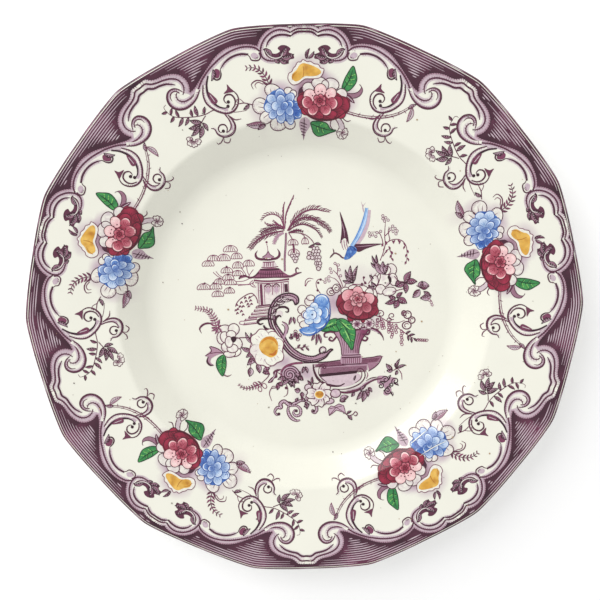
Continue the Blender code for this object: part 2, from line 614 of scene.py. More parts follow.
BORDER_TURN = -1.3            # degrees that the first bouquet stands clockwise of the top of the plate
BORDER_SHIFT = (0.0, 0.5)     # mm by which the border's transfer lies off the plate's axis
HALF_TURN = PANEL_TURN / 2


def from_panel(points):
    """Points drawn in the frame of the small arch between two bouquets, in the bouquet's frame."""
    return rotated(points, -HALF_TURN)


def ground_boundary():
    """The moulding's outer edge over half a repeat, from the bouquet's axis to the small arch's."""
    crown = chain(
        [(0, 129.4), (3.5, 129.2), (5, 128.9), (6.2, 128.1)],
        [(6.2, 128.1), (7.6, 128.8), (10.5, 129.1), (14, 128.4), (17.4, 126.6), (20, 123.7), (21.3, 120.9)],
        gap=0.5,
    )
    sweep = curve([
        (21.4, 120.9), (25, 121.6), (29.5, 121.3), (35, 119.9), (40, 116.4), (44.3, 111), (47.8, 106),
        (50.4, 102.4), (52.3, 100.8),
    ], gap=0.5)
    arch = chain(
        [(-16.9, 112.3), (-18.5, 114.8), (-18.9, 117.8), (-17.9, 120.8), (-15.2, 123.3), (-11.5, 124.9),
         (-8, 125.6), (-6.2, 126.4), (-4.4, 128)],
        [(-4.4, 128), (-3.6, 128.3), (0, 128.3)],
        gap=0.5,
    )
    return np.vstack([crown, sweep, from_panel(arch)])


def border_pens(films):
    """A pen for each of the border's repeats, clockwise from the top."""
    return [
        Pen(films, BORDER_TURN - PANEL_TURN * repeat, last=BORDER_SHIFT) for repeat in range(PANELS)
    ]


def whole_boundary(films):
    """The ground's inner edge all the way round, anticlockwise."""
    half = ground_boundary()
    runs = []
    for pen in border_pens(films):
        runs.append(pen.place(np.vstack([half[::-1], mirrored(half)])))
    ordered = [runs[0], *runs[:0:-1]]
    return np.vstack(ordered)


LIP_START = 131.1             # mm, where the rim starts to round over
GROUND_REACH = 132.75         # mm, where the print stops short of the rim's edge
LIP_ROWS = (131.7, 132.15, 132.45, 132.62, GROUND_REACH)  # mm, close enough to follow the lip
WORN_LINE = 131.95            # mm, where the print is rubbed off along the lip
FIRST_LINE = 130.35           # mm, the outermost pale line
LINE_GAP = 1.12               # mm between pale lines
LINES = 12


def dark_ground(films):
    """The aubergine ground outside the moulding, laid as one band of short strips round the plate."""
    edge = whole_boundary(films)
    angles = np.unwrap(np.arctan2(edge[:, 1], edge[:, 0]))
    lip = at_rim(LIP_START, angles)
    rows = [edge + (lip - edge) * share for share in (0, 0.33, 0.67, 1)]
    rows += [at_rim(reach, angles) for reach in LIP_ROWS]
    grid = np.array(rows)
    strips = len(rows)
    n = len(edge)
    i = np.arange(n)
    j = (i + 1) % n
    faces = []
    for strip in range(strips - 1):
        low, high = strip * n, (strip + 1) * n
        faces.append(np.column_stack([i + low, j + low, i + high]))
        faces.append(np.column_stack([j + low, j + high, i + high]))
    points = grid.reshape(-1, 2)
    depth = np.linalg.norm(points - np.tile(edge, (strips, 1)), axis=1)
    tone = 0.9 + 0.12 * wander(points, 9, 3) - 0.01 * depth
    films["print"].add(points, np.vstack(faces), ink(tone), 0)
    return edge


def ground_lines(films, edge):
    """Pale engraved lines that follow the rim through the dark ground, worn through here and there."""
    angles = np.radians(np.arange(0, 360, 0.2))
    worn_edge = at_rim(WORN_LINE, angles)
    bare = np.clip(2 * wander(worn_edge, 8, 40) - 0.8, 0, 1)
    edge_colours = ink(np.concatenate([0.95 - 0.8 * bare] * 2))
    ribbon(films["print"], worn_edge, 0.32, layer=1, colour=edge_colours)
    edge_reach, edge_angle = np.hypot(*edge.T), np.arctan2(edge[:, 1], edge[:, 0])
    order = np.argsort(edge_angle)
    for row in range(LINES):
        path = at_rim(FIRST_LINE - LINE_GAP * row, angles)
        clear = np.array([np.min(np.hypot(*(edge[::2] - p).T)) for p in path])
        path_angle = np.arctan2(path[:, 1], path[:, 0])
        at = np.interp(path_angle, edge_angle[order], edge_reach[order], period=math.tau)
        margin = 0.9 + 1.3 * wander(path, 3.5, row) + 0.5 * (row % 2)
        keep = (np.hypot(*path.T) > at) & (clear > margin)
        keep &= wander(path, 11, 20 + row) > 0.16
        starts = np.flatnonzero(keep & ~np.roll(keep, 1))
        for first in starts:
            run = np.roll(keep, -first)
            length = int(np.argmin(run)) if not run.all() else len(run)
            if length < 5:
                continue
            stretch = np.roll(path, -first, axis=0)[:length]
            light = 0.2 + 0.16 * wander(stretch, 6, row)
            colours = ink(np.concatenate([light, light]))
            width = 0.42 + 0.1 * rng.random()
            ribbon(films["print"], stretch, width, layer=1, start=0.25, end=0.25, colour=colours)


def moulding(pen):
    """One half of the scrolled moulding: a white band, a line, a narrower band and a second line."""
    outer = ground_boundary()
    pen.path(outer, 0.5, 1.0, 2)
    first = [
        chain([(0, 128), (3, 127.9), (4.9, 127.2), (6.2, 126.4)]),
        curve([(6.2, 126.4), (8.6, 127.3), (11.5, 127.5), (14.6, 126.5), (17.4, 124.3), (19.3, 121.2),
               (19.8, 118.2), (18.9, 116), (16.6, 114.7), (13.6, 114.5), (10.5, 115.1)]),
        curve([(20.2, 118.6), (21.8, 119.8), (24.5, 120.4), (28.5, 120.2), (33, 118.7), (37.8, 115.8),
               (41, 113), (43.3, 110.7), (46.7, 106), (48.7, 101.9), (50.7, 99.5),
               *from_panel([(-14.3, 110.2), (-11.9, 111), (-10.6, 112.8), (-11, 114.8), (-12.3, 115.6)])]),
        from_panel(curve([(0, 126.7), (-2.9, 126.7), (-4.8, 125.2), (-7, 124.2), (-10.5, 123.2),
                          (-13.8, 121.7), (-15.9, 119.5), (-16.4, 116.9), (-15.4, 114.6), (-13.7, 113.3)])),
    ]
    for path in first:
        pen.path(path, 0.75, 0.95, 3, end=0.6)
        pen.shade(path, 1.3, 0.42, -1, fade=0.45)
        pen.shade(path, 1.1, 0.4, 1, fade=0.5)
        hatch(pen, path, 1.05, 1.1, -1, tone=0.8)
        hatch(pen, path, 1.2, 0.8, 1, tone=0.7)
    second = [
        chain([(0, 126.8), (2.8, 126.7), (4.6, 126), (6, 124.9)]),
        curve([(6, 124.9), (8.5, 125.4), (11.2, 125.4), (14, 124.5), (16.2, 122.6), (17.2, 120.3)]),
        curve([(25.3, 117.2), (29, 117.3), (33, 116), (36.2, 113.6), (38.2, 110.8)]),
        from_panel(curve([(0, 124.4), (-2.4, 124.4), (-4.6, 123), (-7.6, 122.3), (-10.5, 121.2),
                          (-12.3, 119.8), (-13.6, 118.6)])),
    ]
    for path in second:
        pen.path(path, 0.9, 0.95, 3, end=0.4)
        pen.shade(path, 1.1, 0.4, -1, fade=0.3)
        pen.shade(path, 0.9, 0.36, 1, fade=0.4)
        hatch(pen, path, 1.1, 1.0, -1, tone=0.8)
    pen.shade(outer, 2.0, 0.5, -1, layer=1, fade=0.5)
    hatch(pen, outer, 1.1, 0.9, -1, tone=0.75)


def crown_leaf(pen):
    """The acanthus leaf inside the large arch, with the small curl and leaf of the sweep beside it."""
    pen.fill([
        (4.6, 115.6), (5.2, 117.4), (7, 118.2), (6.2, 119.6), (8.2, 121), (10.6, 121), (12, 119.8),
        (11, 118.6), (12.6, 117.6), (14.6, 117.8), (16.2, 119.6), (18, 119.8), (17.6, 117.2),
        (15.6, 115.6), (12.8, 114.8), (11.4, 113.4), (10.4, 114.6), (8.6, 114.6), (7.2, 113.6),
        (6.8, 115),
    ], 0.86, 3)
    for base, tip, width in [((14.6, 116), (18.6, 119.4), 2.2), ((11.4, 116.4), (8, 120.6), 2.4),
                             ((11, 116), (4.6, 117.4), 2.2), ((11.4, 115.8), (7, 113.6), 1.8),
                             ((13, 116), (11.2, 113.4), 1.7)]:
        leaf(pen, base, tip, width, 0.14, 0.95, 0.55, edge=0.25)
    pen.line(
        [(17.6, 118.6), (15.6, 116.4), (12.8, 115.6), (10.4, 116.4), (9.6, 118.2)], 0.45, 0.1, 4,
        start=0.4, end=0.3,
    )
    pen.line([(20.4, 118), (19.8, 116.2), (20.6, 114.9), (22.4, 114.6), (24.1, 115), (24.7, 116.2),
              (25.6, 117)], 0.6, 0.9, 3, end=0.5)
    pen.fill(
        [(20.9, 116.9), (20.8, 115.8), (22.2, 115.3), (23.5, 115.7), (24.2, 117), (22.8, 118)], 0.25, 2,
    )
    hatch(pen, curve([(20.9, 117), (20.8, 115.8), (22.2, 115.2), (23.6, 115.7)]), 0.9, 1.2, 1, tone=0.85)
    pen.line([(38.2, 110.8), (37.9, 108.6), (38.6, 106.8), (40.2, 106.3), (41.4, 107.3), (40.8, 108.8),
              (39.9, 108.6)], 0.7, 0.95, 3, start=0.5, end=0.6)
    pen.fill([(38.6, 110.4), (38.4, 108.6), (39.3, 107), (40.9, 107.4), (41.4, 108.8), (40.4, 111)], 0.7, 2)
    leaf(pen, (41.4, 110.8), (42.4, 105.8), 1.8, -0.14, 0.9, 0.4)


def arch_scroll(pen):
    """The scroll inside the small arch between two bouquets."""
    outer = from_panel(curve([
        (-21.2, 110.6), (-18, 108.6), (-14, 107.7), (-10.3, 108.2), (-7.4, 110.2), (-6.2, 113), (-6.8, 116),
        (-9, 118), (-11.6, 117.9), (-13.5, 116.3), (-14.3, 114.4),
    ]))
    pen.path(outer, 1.0, 0.9, 3, start=0.5, end=0.4)
    pen.shade(outer, 1.6, 0.5, 1, layer=2)
    hatch(pen, outer, 1.1, 1.3, 1, tone=0.8)
    pen.path(from_panel(curve([
        (-12.9, 114.7), (-12, 116.4), (-10, 116.9), (-8.4, 115.8), (-8, 114)])), 0.55, 0.85, 3, end=0.4)
    pen.path(from_panel(curve([(-17.5, 110.3), (-15.9, 110), (-14.3, 110.2)])), 0.45, 0.8, 3)


def branches(pen):
    """The branches that leave the moulding, cross, and end in volutes below it."""
    strokes = [
        ([
            (46.2, 104), (46.4, 100), (45.2, 96.4), (42.3, 93.8), (38.7, 92.2), (35.2, 91.8),
            (32.2, 93.2), (30.5, 96.2), (30.6, 99.3), (32.4, 101.4), (34.6, 102.3), (35, 104),
        ], 0.7, 0.9),
        (
            [(43.8, 108), (44.6, 104), (44, 99.8), (42, 96.6), (39.2, 94.6), (36.6, 94.1), (35.2, 94.6)],
            0.85, 1,
        ),
        ([
            (33.5, 93.4), (32, 95.6), (32, 98), (33.6, 99.9), (36, 99.7), (37, 97.8), (36, 96.3),
            (35, 96.6),
        ], 0.65, 0.9),
        ([
            (35.3, 91), (33.2, 88.8), (32.1, 86), (32.9, 83.5), (35.2, 81.9), (38, 81.5), (40.4, 82.6),
            (41.7, 84.7), (43.3, 85.1),
        ], 0.8, 0.9),
        ([(36.9, 91.5), (34.9, 89), (34, 86.3), (34.8, 84.3), (36.2, 83.3)], 0.55, 0.85),
        (
            [(36.2, 83.2), (35.9, 85.2), (37, 86.7), (39, 86.6), (40, 85), (39.2, 83.4), (37.8, 83.6)],
            0.55, 0.9,
        ),
        ([(34.5, 90.5), (32, 89), (29.2, 89.4)], 0.45, 0.8),
        ([(34.5, 80.8), (35.5, 79), (37.5, 79.3), (37.6, 81)], 0.4, 0.8),
        ([(37.6, 81.5), (39, 79), (40.5, 78.2), (41, 79)], 0.4, 0.8),
    ]
    upper = np.vstack([curve(strokes[0][0][:6]), curve(strokes[1][0])[::-1]])
    lower = np.vstack([curve(strokes[3][0][:5]), curve(strokes[4][0])[::-1]])
    for band in (upper, lower):
        pen.area(band, 0.3, 1, cell=FLAT)
    pen.line(
        [(45.3, 103), (45.2, 100), (43.6, 96.6), (40.6, 94), (37, 92.9)], 0.55, 0.0, 2, start=0.3,
        end=0.3,
    )
    for points, width, tone in strokes:
        pen.line(points, 1.15 * width, tone, 3, start=0.7, end=0.35)
    hatch(pen, curve(strokes[0][0][:9]), 1.1, 1.1, -1, tone=0.8)
    hatch(pen, curve(strokes[3][0]), 1.0, 0.9, 1, tone=0.8)
    pen.shade(curve(strokes[0][0][:8]), 1.0, 0.4, -1, layer=2)
    pen.shade(curve(strokes[3][0]), 0.9, 0.4, 1, layer=2)
    dots(pen, [(35.2, 94.9), (35, 96.8), (37.7, 83.9)], 0.75, 1.0, 4)
    pen.fill([(43.9, 101), (41.8, 99.5), (39.9, 97.3), (40.6, 96), (42.5, 96.2), (43.6, 98.5)], 0.75, 3)
    pen.line([(43.2, 99.8), (41.2, 96.9)], 0.3, 0.2, 4)
    pen.fill([(32.4, 101.4), (34, 103), (35.4, 104.4), (35.4, 102.3), (37, 100.4), (34.7, 100.8)], 0.8, 3)


def border_frame(films):
    edge = dark_ground(films)
    ground_lines(films, edge)
    for repeat in range(PANELS):
        for flip in (False, True):
            pen = Pen(films, BORDER_TURN - PANEL_TURN * repeat, flip=flip, last=BORDER_SHIFT)
            begin()
            moulding(pen)
            crown_leaf(pen)
            arch_scroll(pen)
            branches(pen)


# ---------------------------------------------------------------- the border's bouquets and sprigs

ROYAL = linear(78, 126, 196)
SKY = linear(158, 192, 230)
TAIL_BLUE = linear(112, 156, 208)
TAIL_LIGHT = linear(196, 216, 240)
DEEP_BLUE = linear(40, 74, 150)
INDIGO = linear(44, 76, 146)
PALE_SKY = linear(206, 220, 238)
MIST = linear(232, 236, 238)
PALE_MIST = linear(226, 234, 240)
CRIMSON = linear(142, 34, 60)
ROSE = linear(206, 118, 132)
BLUSH = linear(230, 176, 180)
PALE_PINK = linear(242, 218, 214)
SHELL_PINK = linear(236, 196, 194)
WINE = linear(98, 16, 38)
LEAF_GREEN = linear(34, 116, 66)
BRIGHT_GREEN = linear(72, 154, 80)
FRESH_GREEN = linear(122, 190, 98)
LEAF_LIGHT = linear(150, 206, 120)
OCHRE = linear(208, 152, 52)
PALE_OCHRE = linear(230, 186, 92)
BURNT_OCHRE = linear(176, 112, 34)
WASHES = []                   # soft lilac clouds in the print: centre, axes, turn and tone


def wash(pen, x, y, rx, ry, tone, turn=0.0):
    """A soft cloud of pale print, which is laid into the glaze's own colour."""
    centre = pen.place([(x, y)])[0]
    ahead = pen.place([from_point(x, y, turn, 1)])[0] - centre
    WASHES.append((centre, rx, ry, math.atan2(ahead[1], ahead[0]), tone))


def brushed(low, high, size, seed=0, third=None):
    """A fill that wanders between two colours, and through a third where it is given."""
    def colour(points):
        share = np.clip(1.5 * wander(points, size, seed) - 0.25, 0, 1)[:, None]
        mixed = low + (high - low) * share
        if third is not None:
            more = np.clip(2.2 * wander(points, 0.7 * size, seed + 4) - 1.3, 0, 1)[:, None]
            mixed = mixed + (third - mixed) * more
        return mixed
    return colour


def from_middle(pen, x, y, reach, inner, outer, size=1.4, seed=0):
    """A fill that passes from one colour at a point to another at this distance, unevenly."""
    middle = pen.place([(x, y)])[0]

    def colour(points):
        far = np.linalg.norm(points - middle, axis=1) / reach
        share = np.clip(far + 0.5 * (wander(points, size, seed) - 0.5), 0, 1)[:, None]
        return inner + (outer - inner) * share
    return colour


def edged_oval(pen, x, y, rx, ry, turn, tone=0.9, width=0.4, inner=0.0, layer=2, wash_tone=0.2):
    """A rounded white petal seen from the side: pale at its edge, with a shaded foot."""
    outline = oval(x, y, rx, ry, turn)[:-1]

    def tint(points):
        return ink(inner + wash_tone * np.clip(wander(points, 2.2, x + y) - 0.35, 0, 1))

    pen.area(outline, 0, layer, tint, cell=1.2)
    hatch(pen, oval(x, y, rx, ry, turn, 150, 350), 0.9, 0.5 * min(rx, ry), 1, 0.4, 0.5, layer)
    pen.path(closed(outline), width, tone, layer)


def strokes(pen, middle, reaches, angles, width, colour, layer, film):
    """Short tapered brush strokes that fan out from a point."""
    for angle in angles:
        route = [from_point(*middle, angle, reach) for reach in (reaches[0], sum(reaches) / 2, reaches[1])]
        pen.line(route, width, layer=layer, start=0.6, end=0.25, colour=colour, film=film)


def blue_bloom(pen):
    """The round blue flower: white outer petals, and blue ones curled over its heart."""
    petals = [
        (-12, 101.5, 3.9, 2.9, -20), (-18, 95, 3.5, 3.5, 0), (-15.3, 90, 3.2, 2.6, 40),
        (-9.6, 87.2, 3.9, 2.8, 10), (-4.5, 87.4, 2.7, 2.3, -20), (-5, 101.5, 1.9, 1.6, 0),
        (-2.7, 100.3, 1.6, 1.6, 0),
    ]
    for x, y, rx, ry, turn in petals:
        edged_oval(pen, x, y, rx, ry, turn, inner=0.03)
    for x, y, far_x, far_y in [
        (-10.5, 90.5, -10, 86.4), (-9, 90, -8.2, 86.2), (-15.3, 94, -19, 94.6), (-15, 95.5, -18.8, 96.8),
        (-12.5, 99.5, -13.2, 102.5), (-11.5, 99.5, -11, 102.6), (-14, 91.5, -16.6, 89.6),
    ]:
        pen.line([(x, y), (far_x, far_y)], 0.28, 0.75, 4, end=0.3)
    pen.fill([
        (-16.3, 95.5), (-14.5, 99), (-11.5, 101.7), (-8, 101.2), (-5, 99.8), (-2.5, 97.8), (0, 95.3),
        (1.3, 92.5), (0.5, 90), (-2, 89), (-4.5, 88.2), (-7, 88.5), (-9.5, 89), (-12, 90.3), (-14, 91.8),
        (-16.3, 93.5),
    ], layer=5, colour=brushed(DEEP_BLUE, ROYAL, 1.7, 2), film="blue", cell=0.8)
    for number, (x, y, rx, ry, turn) in enumerate([
        (-13.6, 94.2, 2.6, 2.3, 190), (-12.6, 98, 2.7, 2.2, 140), (-8.8, 99.8, 2.8, 2.1, 100),
        (-4.6, 98, 2.9, 2.2, 50), (-1.2, 94.8, 2.6, 2.2, 10), (-1, 91.2, 2.2, 1.7, -30),
        (-4.4, 90, 2.6, 1.9, -70), (-8.4, 90, 2.8, 2, -100), (-12, 91.4, 2.5, 2, 225),
        (-10.4, 94.8, 2.4, 2.1, 180), (-8.2, 97.2, 2.4, 1.9, 110), (-4.8, 95.4, 2.4, 2, 40),
        (-4.6, 92.6, 2.3, 1.8, -50), (-8.4, 92.8, 2.4, 1.8, -120), (-6.8, 94.8, 1.9, 1.4, 60),
    ]):
        right = min(1, max(0, (x + 14) / 14 + 0.25 * (number % 3 - 1)))
        pale = PALE_SKY + (ROYAL - PALE_SKY) * right
        deep = SKY + (DEEP_BLUE - SKY) * (0.4 + 0.6 * right)
        painted_petal(pen, x, y, rx, ry, turn, pale, deep, INDIGO, "blue", number, PALE_SKY)


def painted_petal(pen, x, y, rx, ry, turn, pale, deep, line, film, seed=0, rim=None):
    """An enamelled petal, pale at its lip and deep at its foot, with an uneven drawn edge."""
    x, y, turn = (x, y, turn) + (rng.random(3) - 0.5) * (0.4, 0.4, 24)
    rx, ry = np.array((rx, ry)) * (0.9 + 0.22 * rng.random(2))
    outline = oval(x, y, rx, ry, turn)
    fill = from_middle(pen, *from_point(x, y, turn, 0.7 * rx), 1.7 * rx, pale, deep, 1.3, seed)
    pen.area(outline[:-1], layer=5, colour=fill, film=film, cell=0.8)
    if rim is not None:
        crescent = oval(x, y, 0.82 * rx, 0.8 * ry, turn, -95 + 40 * rng.random(), 95 - 40 * rng.random())
        pen.path(crescent, 0.6, layer=5, start=0.2, end=0.2, colour=rim, film=film)
    foot = from_point(x, y, turn, -0.5 * rx)
    strokes(pen, foot, (0.1 * rx, 0.85 * rx), (turn - 30, turn, turn + 30), 0.34, deep, 5, film)
    edge = oval(x, y, rx, ry, turn, -150 + 40 * rng.random(), 150 - 40 * rng.random())
    pen.path(edge, 0.36, layer=5, start=0.3, end=0.3, colour=line, film=film)


def crimson_bloom(pen):
    """The crimson flower: deep outer petals behind a paler open face with a rosette."""
    pen.fill([(0, 96), (-0.5, 99), (0.2, 102.5), (2.4, 103.5), (3, 99), (2, 95.5)], 0.95, 2)
    for x, y, rx, ry, turn in [
        (19.5, 99.8, 2.7, 2.6, 0), (4.2, 102.6, 2.7, 2.6, 0), (14.9, 104.3, 3.5, 2.6, -15),
        (9.2, 105, 3.4, 2.4, 5), (12, 104, 1.7, 2.2, 0),
    ]:
        edged_oval(pen, x, y, rx, ry, turn, inner=0.04, wash_tone=0.3, layer=4)
    pen.fill([
        (-0.8, 96), (0.8, 93.2), (3.4, 90.8), (7, 89), (11, 88.4), (15.5, 88.6), (19.7, 90), (22.8, 92.3),
        (23.7, 95), (22.7, 98.3), (20.3, 99), (17, 101), (13, 102), (8, 102), (4, 101.5), (0, 100),
    ], layer=5, colour=brushed(WINE, CRIMSON, 2.2, 5), film="crimson", cell=0.9)
    for number, (x, y, rx, ry, turn) in enumerate([
        (1.6, 97.4, 2.7, 2.4, 150), (3.6, 93.6, 3.0, 2.3, 215), (20.4, 95.4, 3.0, 3.6, 10),
        (18.6, 91.8, 3.2, 2.3, -30), (13.6, 90.6, 4.2, 2.0, 5), (8, 90.8, 3.6, 1.9, -10),
        (17, 96.4, 3.2, 3.2, 20),
    ]):
        painted_petal(pen, x, y, rx, ry, turn, CRIMSON * 1.25, WINE, MAROON, "crimson", number)
    for number, (x, y, turn) in enumerate([
        (4.7, 99.6, 145), (9.7, 101.8, 90), (14.6, 100.4, 45), (15.2, 96, -12), (12.2, 93.2, -62),
        (6.6, 93.6, -118), (3.9, 96.4, 180),
    ]):
        pale, deep = (PALE_PINK, BLUSH) if number < 3 else (ROSE, CRIMSON)
        painted_petal(pen, x, y, 2.7, 2.5, turn, pale, deep, MAROON, "crimson", number, SHELL_PINK)
    for x, y in [
        (6.2, 99.4), (7.2, 100.8), (8.8, 101.2), (10.6, 101.2), (12.4, 100.6), (13.6, 99.4), (13.8, 97.6),
        (5.6, 97.6), (6.4, 95.6), (12.8, 95.2),
    ]:
        pen.area(oval(x, y, 0.32, gap=0.2)[:-1], layer=6, colour=MAROON, film="crimson", cell=FLAT)
    for petal in range(6):
        a = math.radians(60 * petal + 20)
        painted_petal(
            pen, 9.6 + 1.7 * math.cos(a), 97.3 + 1.5 * math.sin(a), 1.3, 1.2, 60 * petal + 20, ROSE,
            CRIMSON, MAROON, "crimson", petal,
        )
    pen.area(oval(9.6, 97.3, 1.1, 1.0)[:-1], layer=6, colour=CRIMSON, film="crimson", cell=FLAT)
    pen.path(oval(9.6, 97.3, 1.1, 1.0), 0.32, layer=6, colour=MAROON, film="crimson")
    pen.area(oval(9.6, 97.3, 0.4, gap=0.2)[:-1], layer=6, colour=MAROON, film="crimson", cell=FLAT)
    pen.line(
        [(1, 94), (5, 90.4), (11, 88.9), (17, 89.4), (22.4, 92.8)], 0.6, layer=6, start=0.3, end=0.3,
        colour=MAROON, film="crimson",
    )


def ochre_heart(pen):
    """The two-lobed ochre bud above the bouquet."""
    outline = 0.9 * np.array([
        (-4, 106.8), (-3.8, 108.5), (-1.5, 110.8), (0, 113), (1.8, 113.8), (4.5, 113.3), (8, 112),
        (10.3, 110.6), (10.8, 109.3), (9, 108), (5.5, 107.6), (3, 107.7), (1.8, 107.2), (0, 105.8),
        (-2.3, 105.2),
    ]) + (0.35, 10.95)
    white = [
        (-5, 106.5), (-4.6, 109), (-3.2, 109.9), (-2.5, 111.3), (-1.7, 112), (-0.6, 113.8), (0.8, 113.9),
        (1.8, 114.9), (3.8, 114), (5, 114.2), (7, 113.1), (8.8, 112.8), (10, 111.3), (11.3, 111),
        (11.2, 109.6), (9.5, 107.2), (5.5, 106.7), (3, 106.7), (1.5, 105.9), (-0.5, 104.5), (-3, 104.2),
    ]
    pen.fill(white, 0.03, 2)
    pen.path(closed(loop(white)), 0.34, 0.7, 3)
    pen.fill(outline, layer=5, colour=brushed(OCHRE, PALE_OCHRE, 4, 1, BURNT_OCHRE), film="ochre", cell=0.8)
    pen.line(
        [(1.8, 107.4), (2.2, 109.6), (1.9, 112.2)], 0.35, layer=6, end=0.3, colour=BURNT_OCHRE,
        film="ochre",
    )
    pen.line(
        [(-3.2, 106.3), (-2.4, 108.4), (-0.6, 110)], 0.3, layer=6, end=0.3, colour=BURNT_OCHRE,
        film="ochre",
    )


def green_leaf(pen, points, vein, veins, seed):
    """A leaf painted green over its engraving, with darker veins showing through."""
    outline = loop(points)
    pen.area(
        outline, layer=5, colour=brushed(LEAF_GREEN, BRIGHT_GREEN, 2.4, seed, DARK_GREEN), film="green",
        cell=0.9,
    )
    pen.path(closed(outline), 0.4, layer=6, colour=DARK_GREEN, film="green")
    pen.line(vein, 0.36, layer=7, end=0.3, colour=DARK_GREEN, film="green")
    for near, far in veins:
        near, far = np.asarray(near, float), np.asarray(far, float)
        pen.line([near, far], 0.3, layer=7, end=0.3, colour=DARK_GREEN, film="green")
        for share in (0.25, 0.6):
            start = near + share * (far - near) + 0.25
            pen.line(
                [start, start + 0.35 * (far - near)], 0.5, layer=7, start=0.5, end=0.2,
                colour=FRESH_GREEN, film="green",
            )


def bouquet_leaves(pen):
    """Green leaves, and the printed leaves and sprays that fill the bouquet out."""
    green_leaf(
        pen, [(19.8, 102.3), (20.3, 105), (22, 108.5), (24.8, 112), (26, 109.2), (26.5, 106), (24.5, 102.7),
              (22, 101.2)],
        [(20.6, 102.2), (23, 106), (24.8, 111)],
        [((21.6, 104), (24.6, 104)), ((22.6, 105.6), (25.6, 106.3)), ((23.3, 107.4), (25.7, 108.4)),
         ((22, 104.4), (21, 105.8)), ((23, 106.6), (22.2, 108))], 3,
    )
    green_leaf(
        pen,
        [
            (5.5, 87.8), (9, 88.3), (13, 87.3), (14.8, 85.1), (17.4, 84.3), (14.5, 83.3), (11, 82.2),
            (9, 82), (7, 83.3), (6, 85.5),
        ],
        [(5.8, 87.2), (9.5, 85.8), (14, 84.6), (16.6, 84.3)],
        [
            ((8, 86.4), (9.2, 83.2)), ((10.2, 85.6), (11.4, 83)), ((9, 86), (11, 87.4)),
            ((11.5, 85.2), (13, 86.4)),
        ],
        8,
    )
    pen.fill([
        (21.3, 99.8), (24.5, 100.3), (27.3, 101), (28.6, 103), (27.8, 104.3), (29.4, 102), (27.8, 98.8),
        (24, 98.6), (22, 99.2),
    ], 0.55, 3)
    pen.line([(21.5, 100.6), (24.5, 100.2), (27.3, 101), (28.6, 103), (27.6, 104.2)], 0.35, 0.9, 4, end=0.4)
    pen.line([(22, 99), (25, 98.2), (28, 99.2), (29.3, 101.6), (28.2, 104)], 0.35, 0.9, 4, end=0.4)
    pen.fill([(21.8, 100.2), (24, 99), (25.7, 96), (22.6, 97.4), (21.3, 99.4)], 0.85, 3)
    pen.line([(21.8, 99.4), (23.6, 98), (25, 96.6)], 0.25, 0.2, 4)
    pen.fill(
        [
            (0.3, 88.5), (0.3, 85.5), (1.5, 83), (2.1, 80.6), (3.2, 83.6), (5, 86.3), (4.8, 88.6),
            (2.8, 90),
        ],
        0.35, 3,
    )
    for number in range(5):
        pen.line(
            [(0.6 + 0.12 * number, 88 - 1.3 * number), (3.9 - 0.25 * number, 86.8 - 1.1 * number)], 0.42,
            0.95, 4, end=0.4,
        )
    pen.line([(2.4, 89.5), (2.3, 85), (2.1, 80.4)], 0.4, 0.95, 4, end=0.3)
    leaf(pen, (-16.2, 87.6), (-24.6, 86.7), 2.8, 0.08, 0.6, 0.25)
    leaf(pen, (-15.6, 86.6), (-19.4, 84.6), 1.9, -0.1, 0.75, 0.4)
    pen.line(
        [(-21, 102.2), (-21.8, 104.3), (-19.5, 106), (-16, 105.3), (-13.8, 103.2)], 0.55, 0.8, 3,
        start=0.4,
    )
    pen.line([(-19.6, 102.6), (-20.2, 104), (-18.9, 105.2), (-16.3, 104.4)], 0.4, 0.7, 3, start=0.4)
    sprig(
        pen, [(-13.6, 103.8), (-15, 107), (-17.5, 110), (-20.5, 111.4), (-24, 111.3)], 3.2, 1.9, 0.42,
        0.85, 0.34,
    )
    pen.fill([(16.4, 89.8), (18.4, 87), (19.2, 84.4), (21.6, 84.6), (20.6, 87.4), (18.6, 90)], 0.2, 3)
    for stem in ([(16.2, 90), (18.4, 87), (19.2, 84.2)], [(18.6, 90), (20.6, 87.4), (21.6, 84.4)],
                 [(15, 89), (14.6, 86.6), (16, 84.6)], [(20, 89.6), (22.4, 88), (24, 88.4)]):
        pen.line(stem, 0.42, 0.85, 3, end=0.6)
    for turn in (150, 205, 265, 325, 25):
        white_petal(pen, 20.4, 83.2, 2.7, 2.6, turn, 0.38, 0.85)
    dots(pen, [(20.4, 83.4)], 0.45, 0.85)
    leaf(pen, (3.2, 115.4), (4.9, 119.6), 1.3, 0.1, 0.7, 0.4)
    leaf(pen, (4.3, 115.4), (6.9, 118.4), 1.2, -0.1, 0.7, 0.4)
    leaf(pen, (3.6, 115.2), (3, 118.2), 1.0, -0.1, 0.7, 0.4)


def bouquet_washes(pen):
    for x, y, rx, ry, tone in [
        (9, 105, 10, 6, 0.46), (1.5, 101.5, 5.5, 6, 0.5), (-10, 101.5, 9, 5.5, 0.34),
        (3.5, 111, 10, 7, 0.3), (22, 97.5, 6, 7, 0.3), (-18, 93.5, 6, 7, 0.24), (8, 86.8, 13, 4.5, 0.2),
    ]:
        wash(pen, x, y, rx, ry, tone)


def bouquet(pen):
    bouquet_washes(pen)
    for level, draw in enumerate((bouquet_leaves, blue_bloom, crimson_bloom, ochre_heart)):
        begin(level)
        draw(pen)


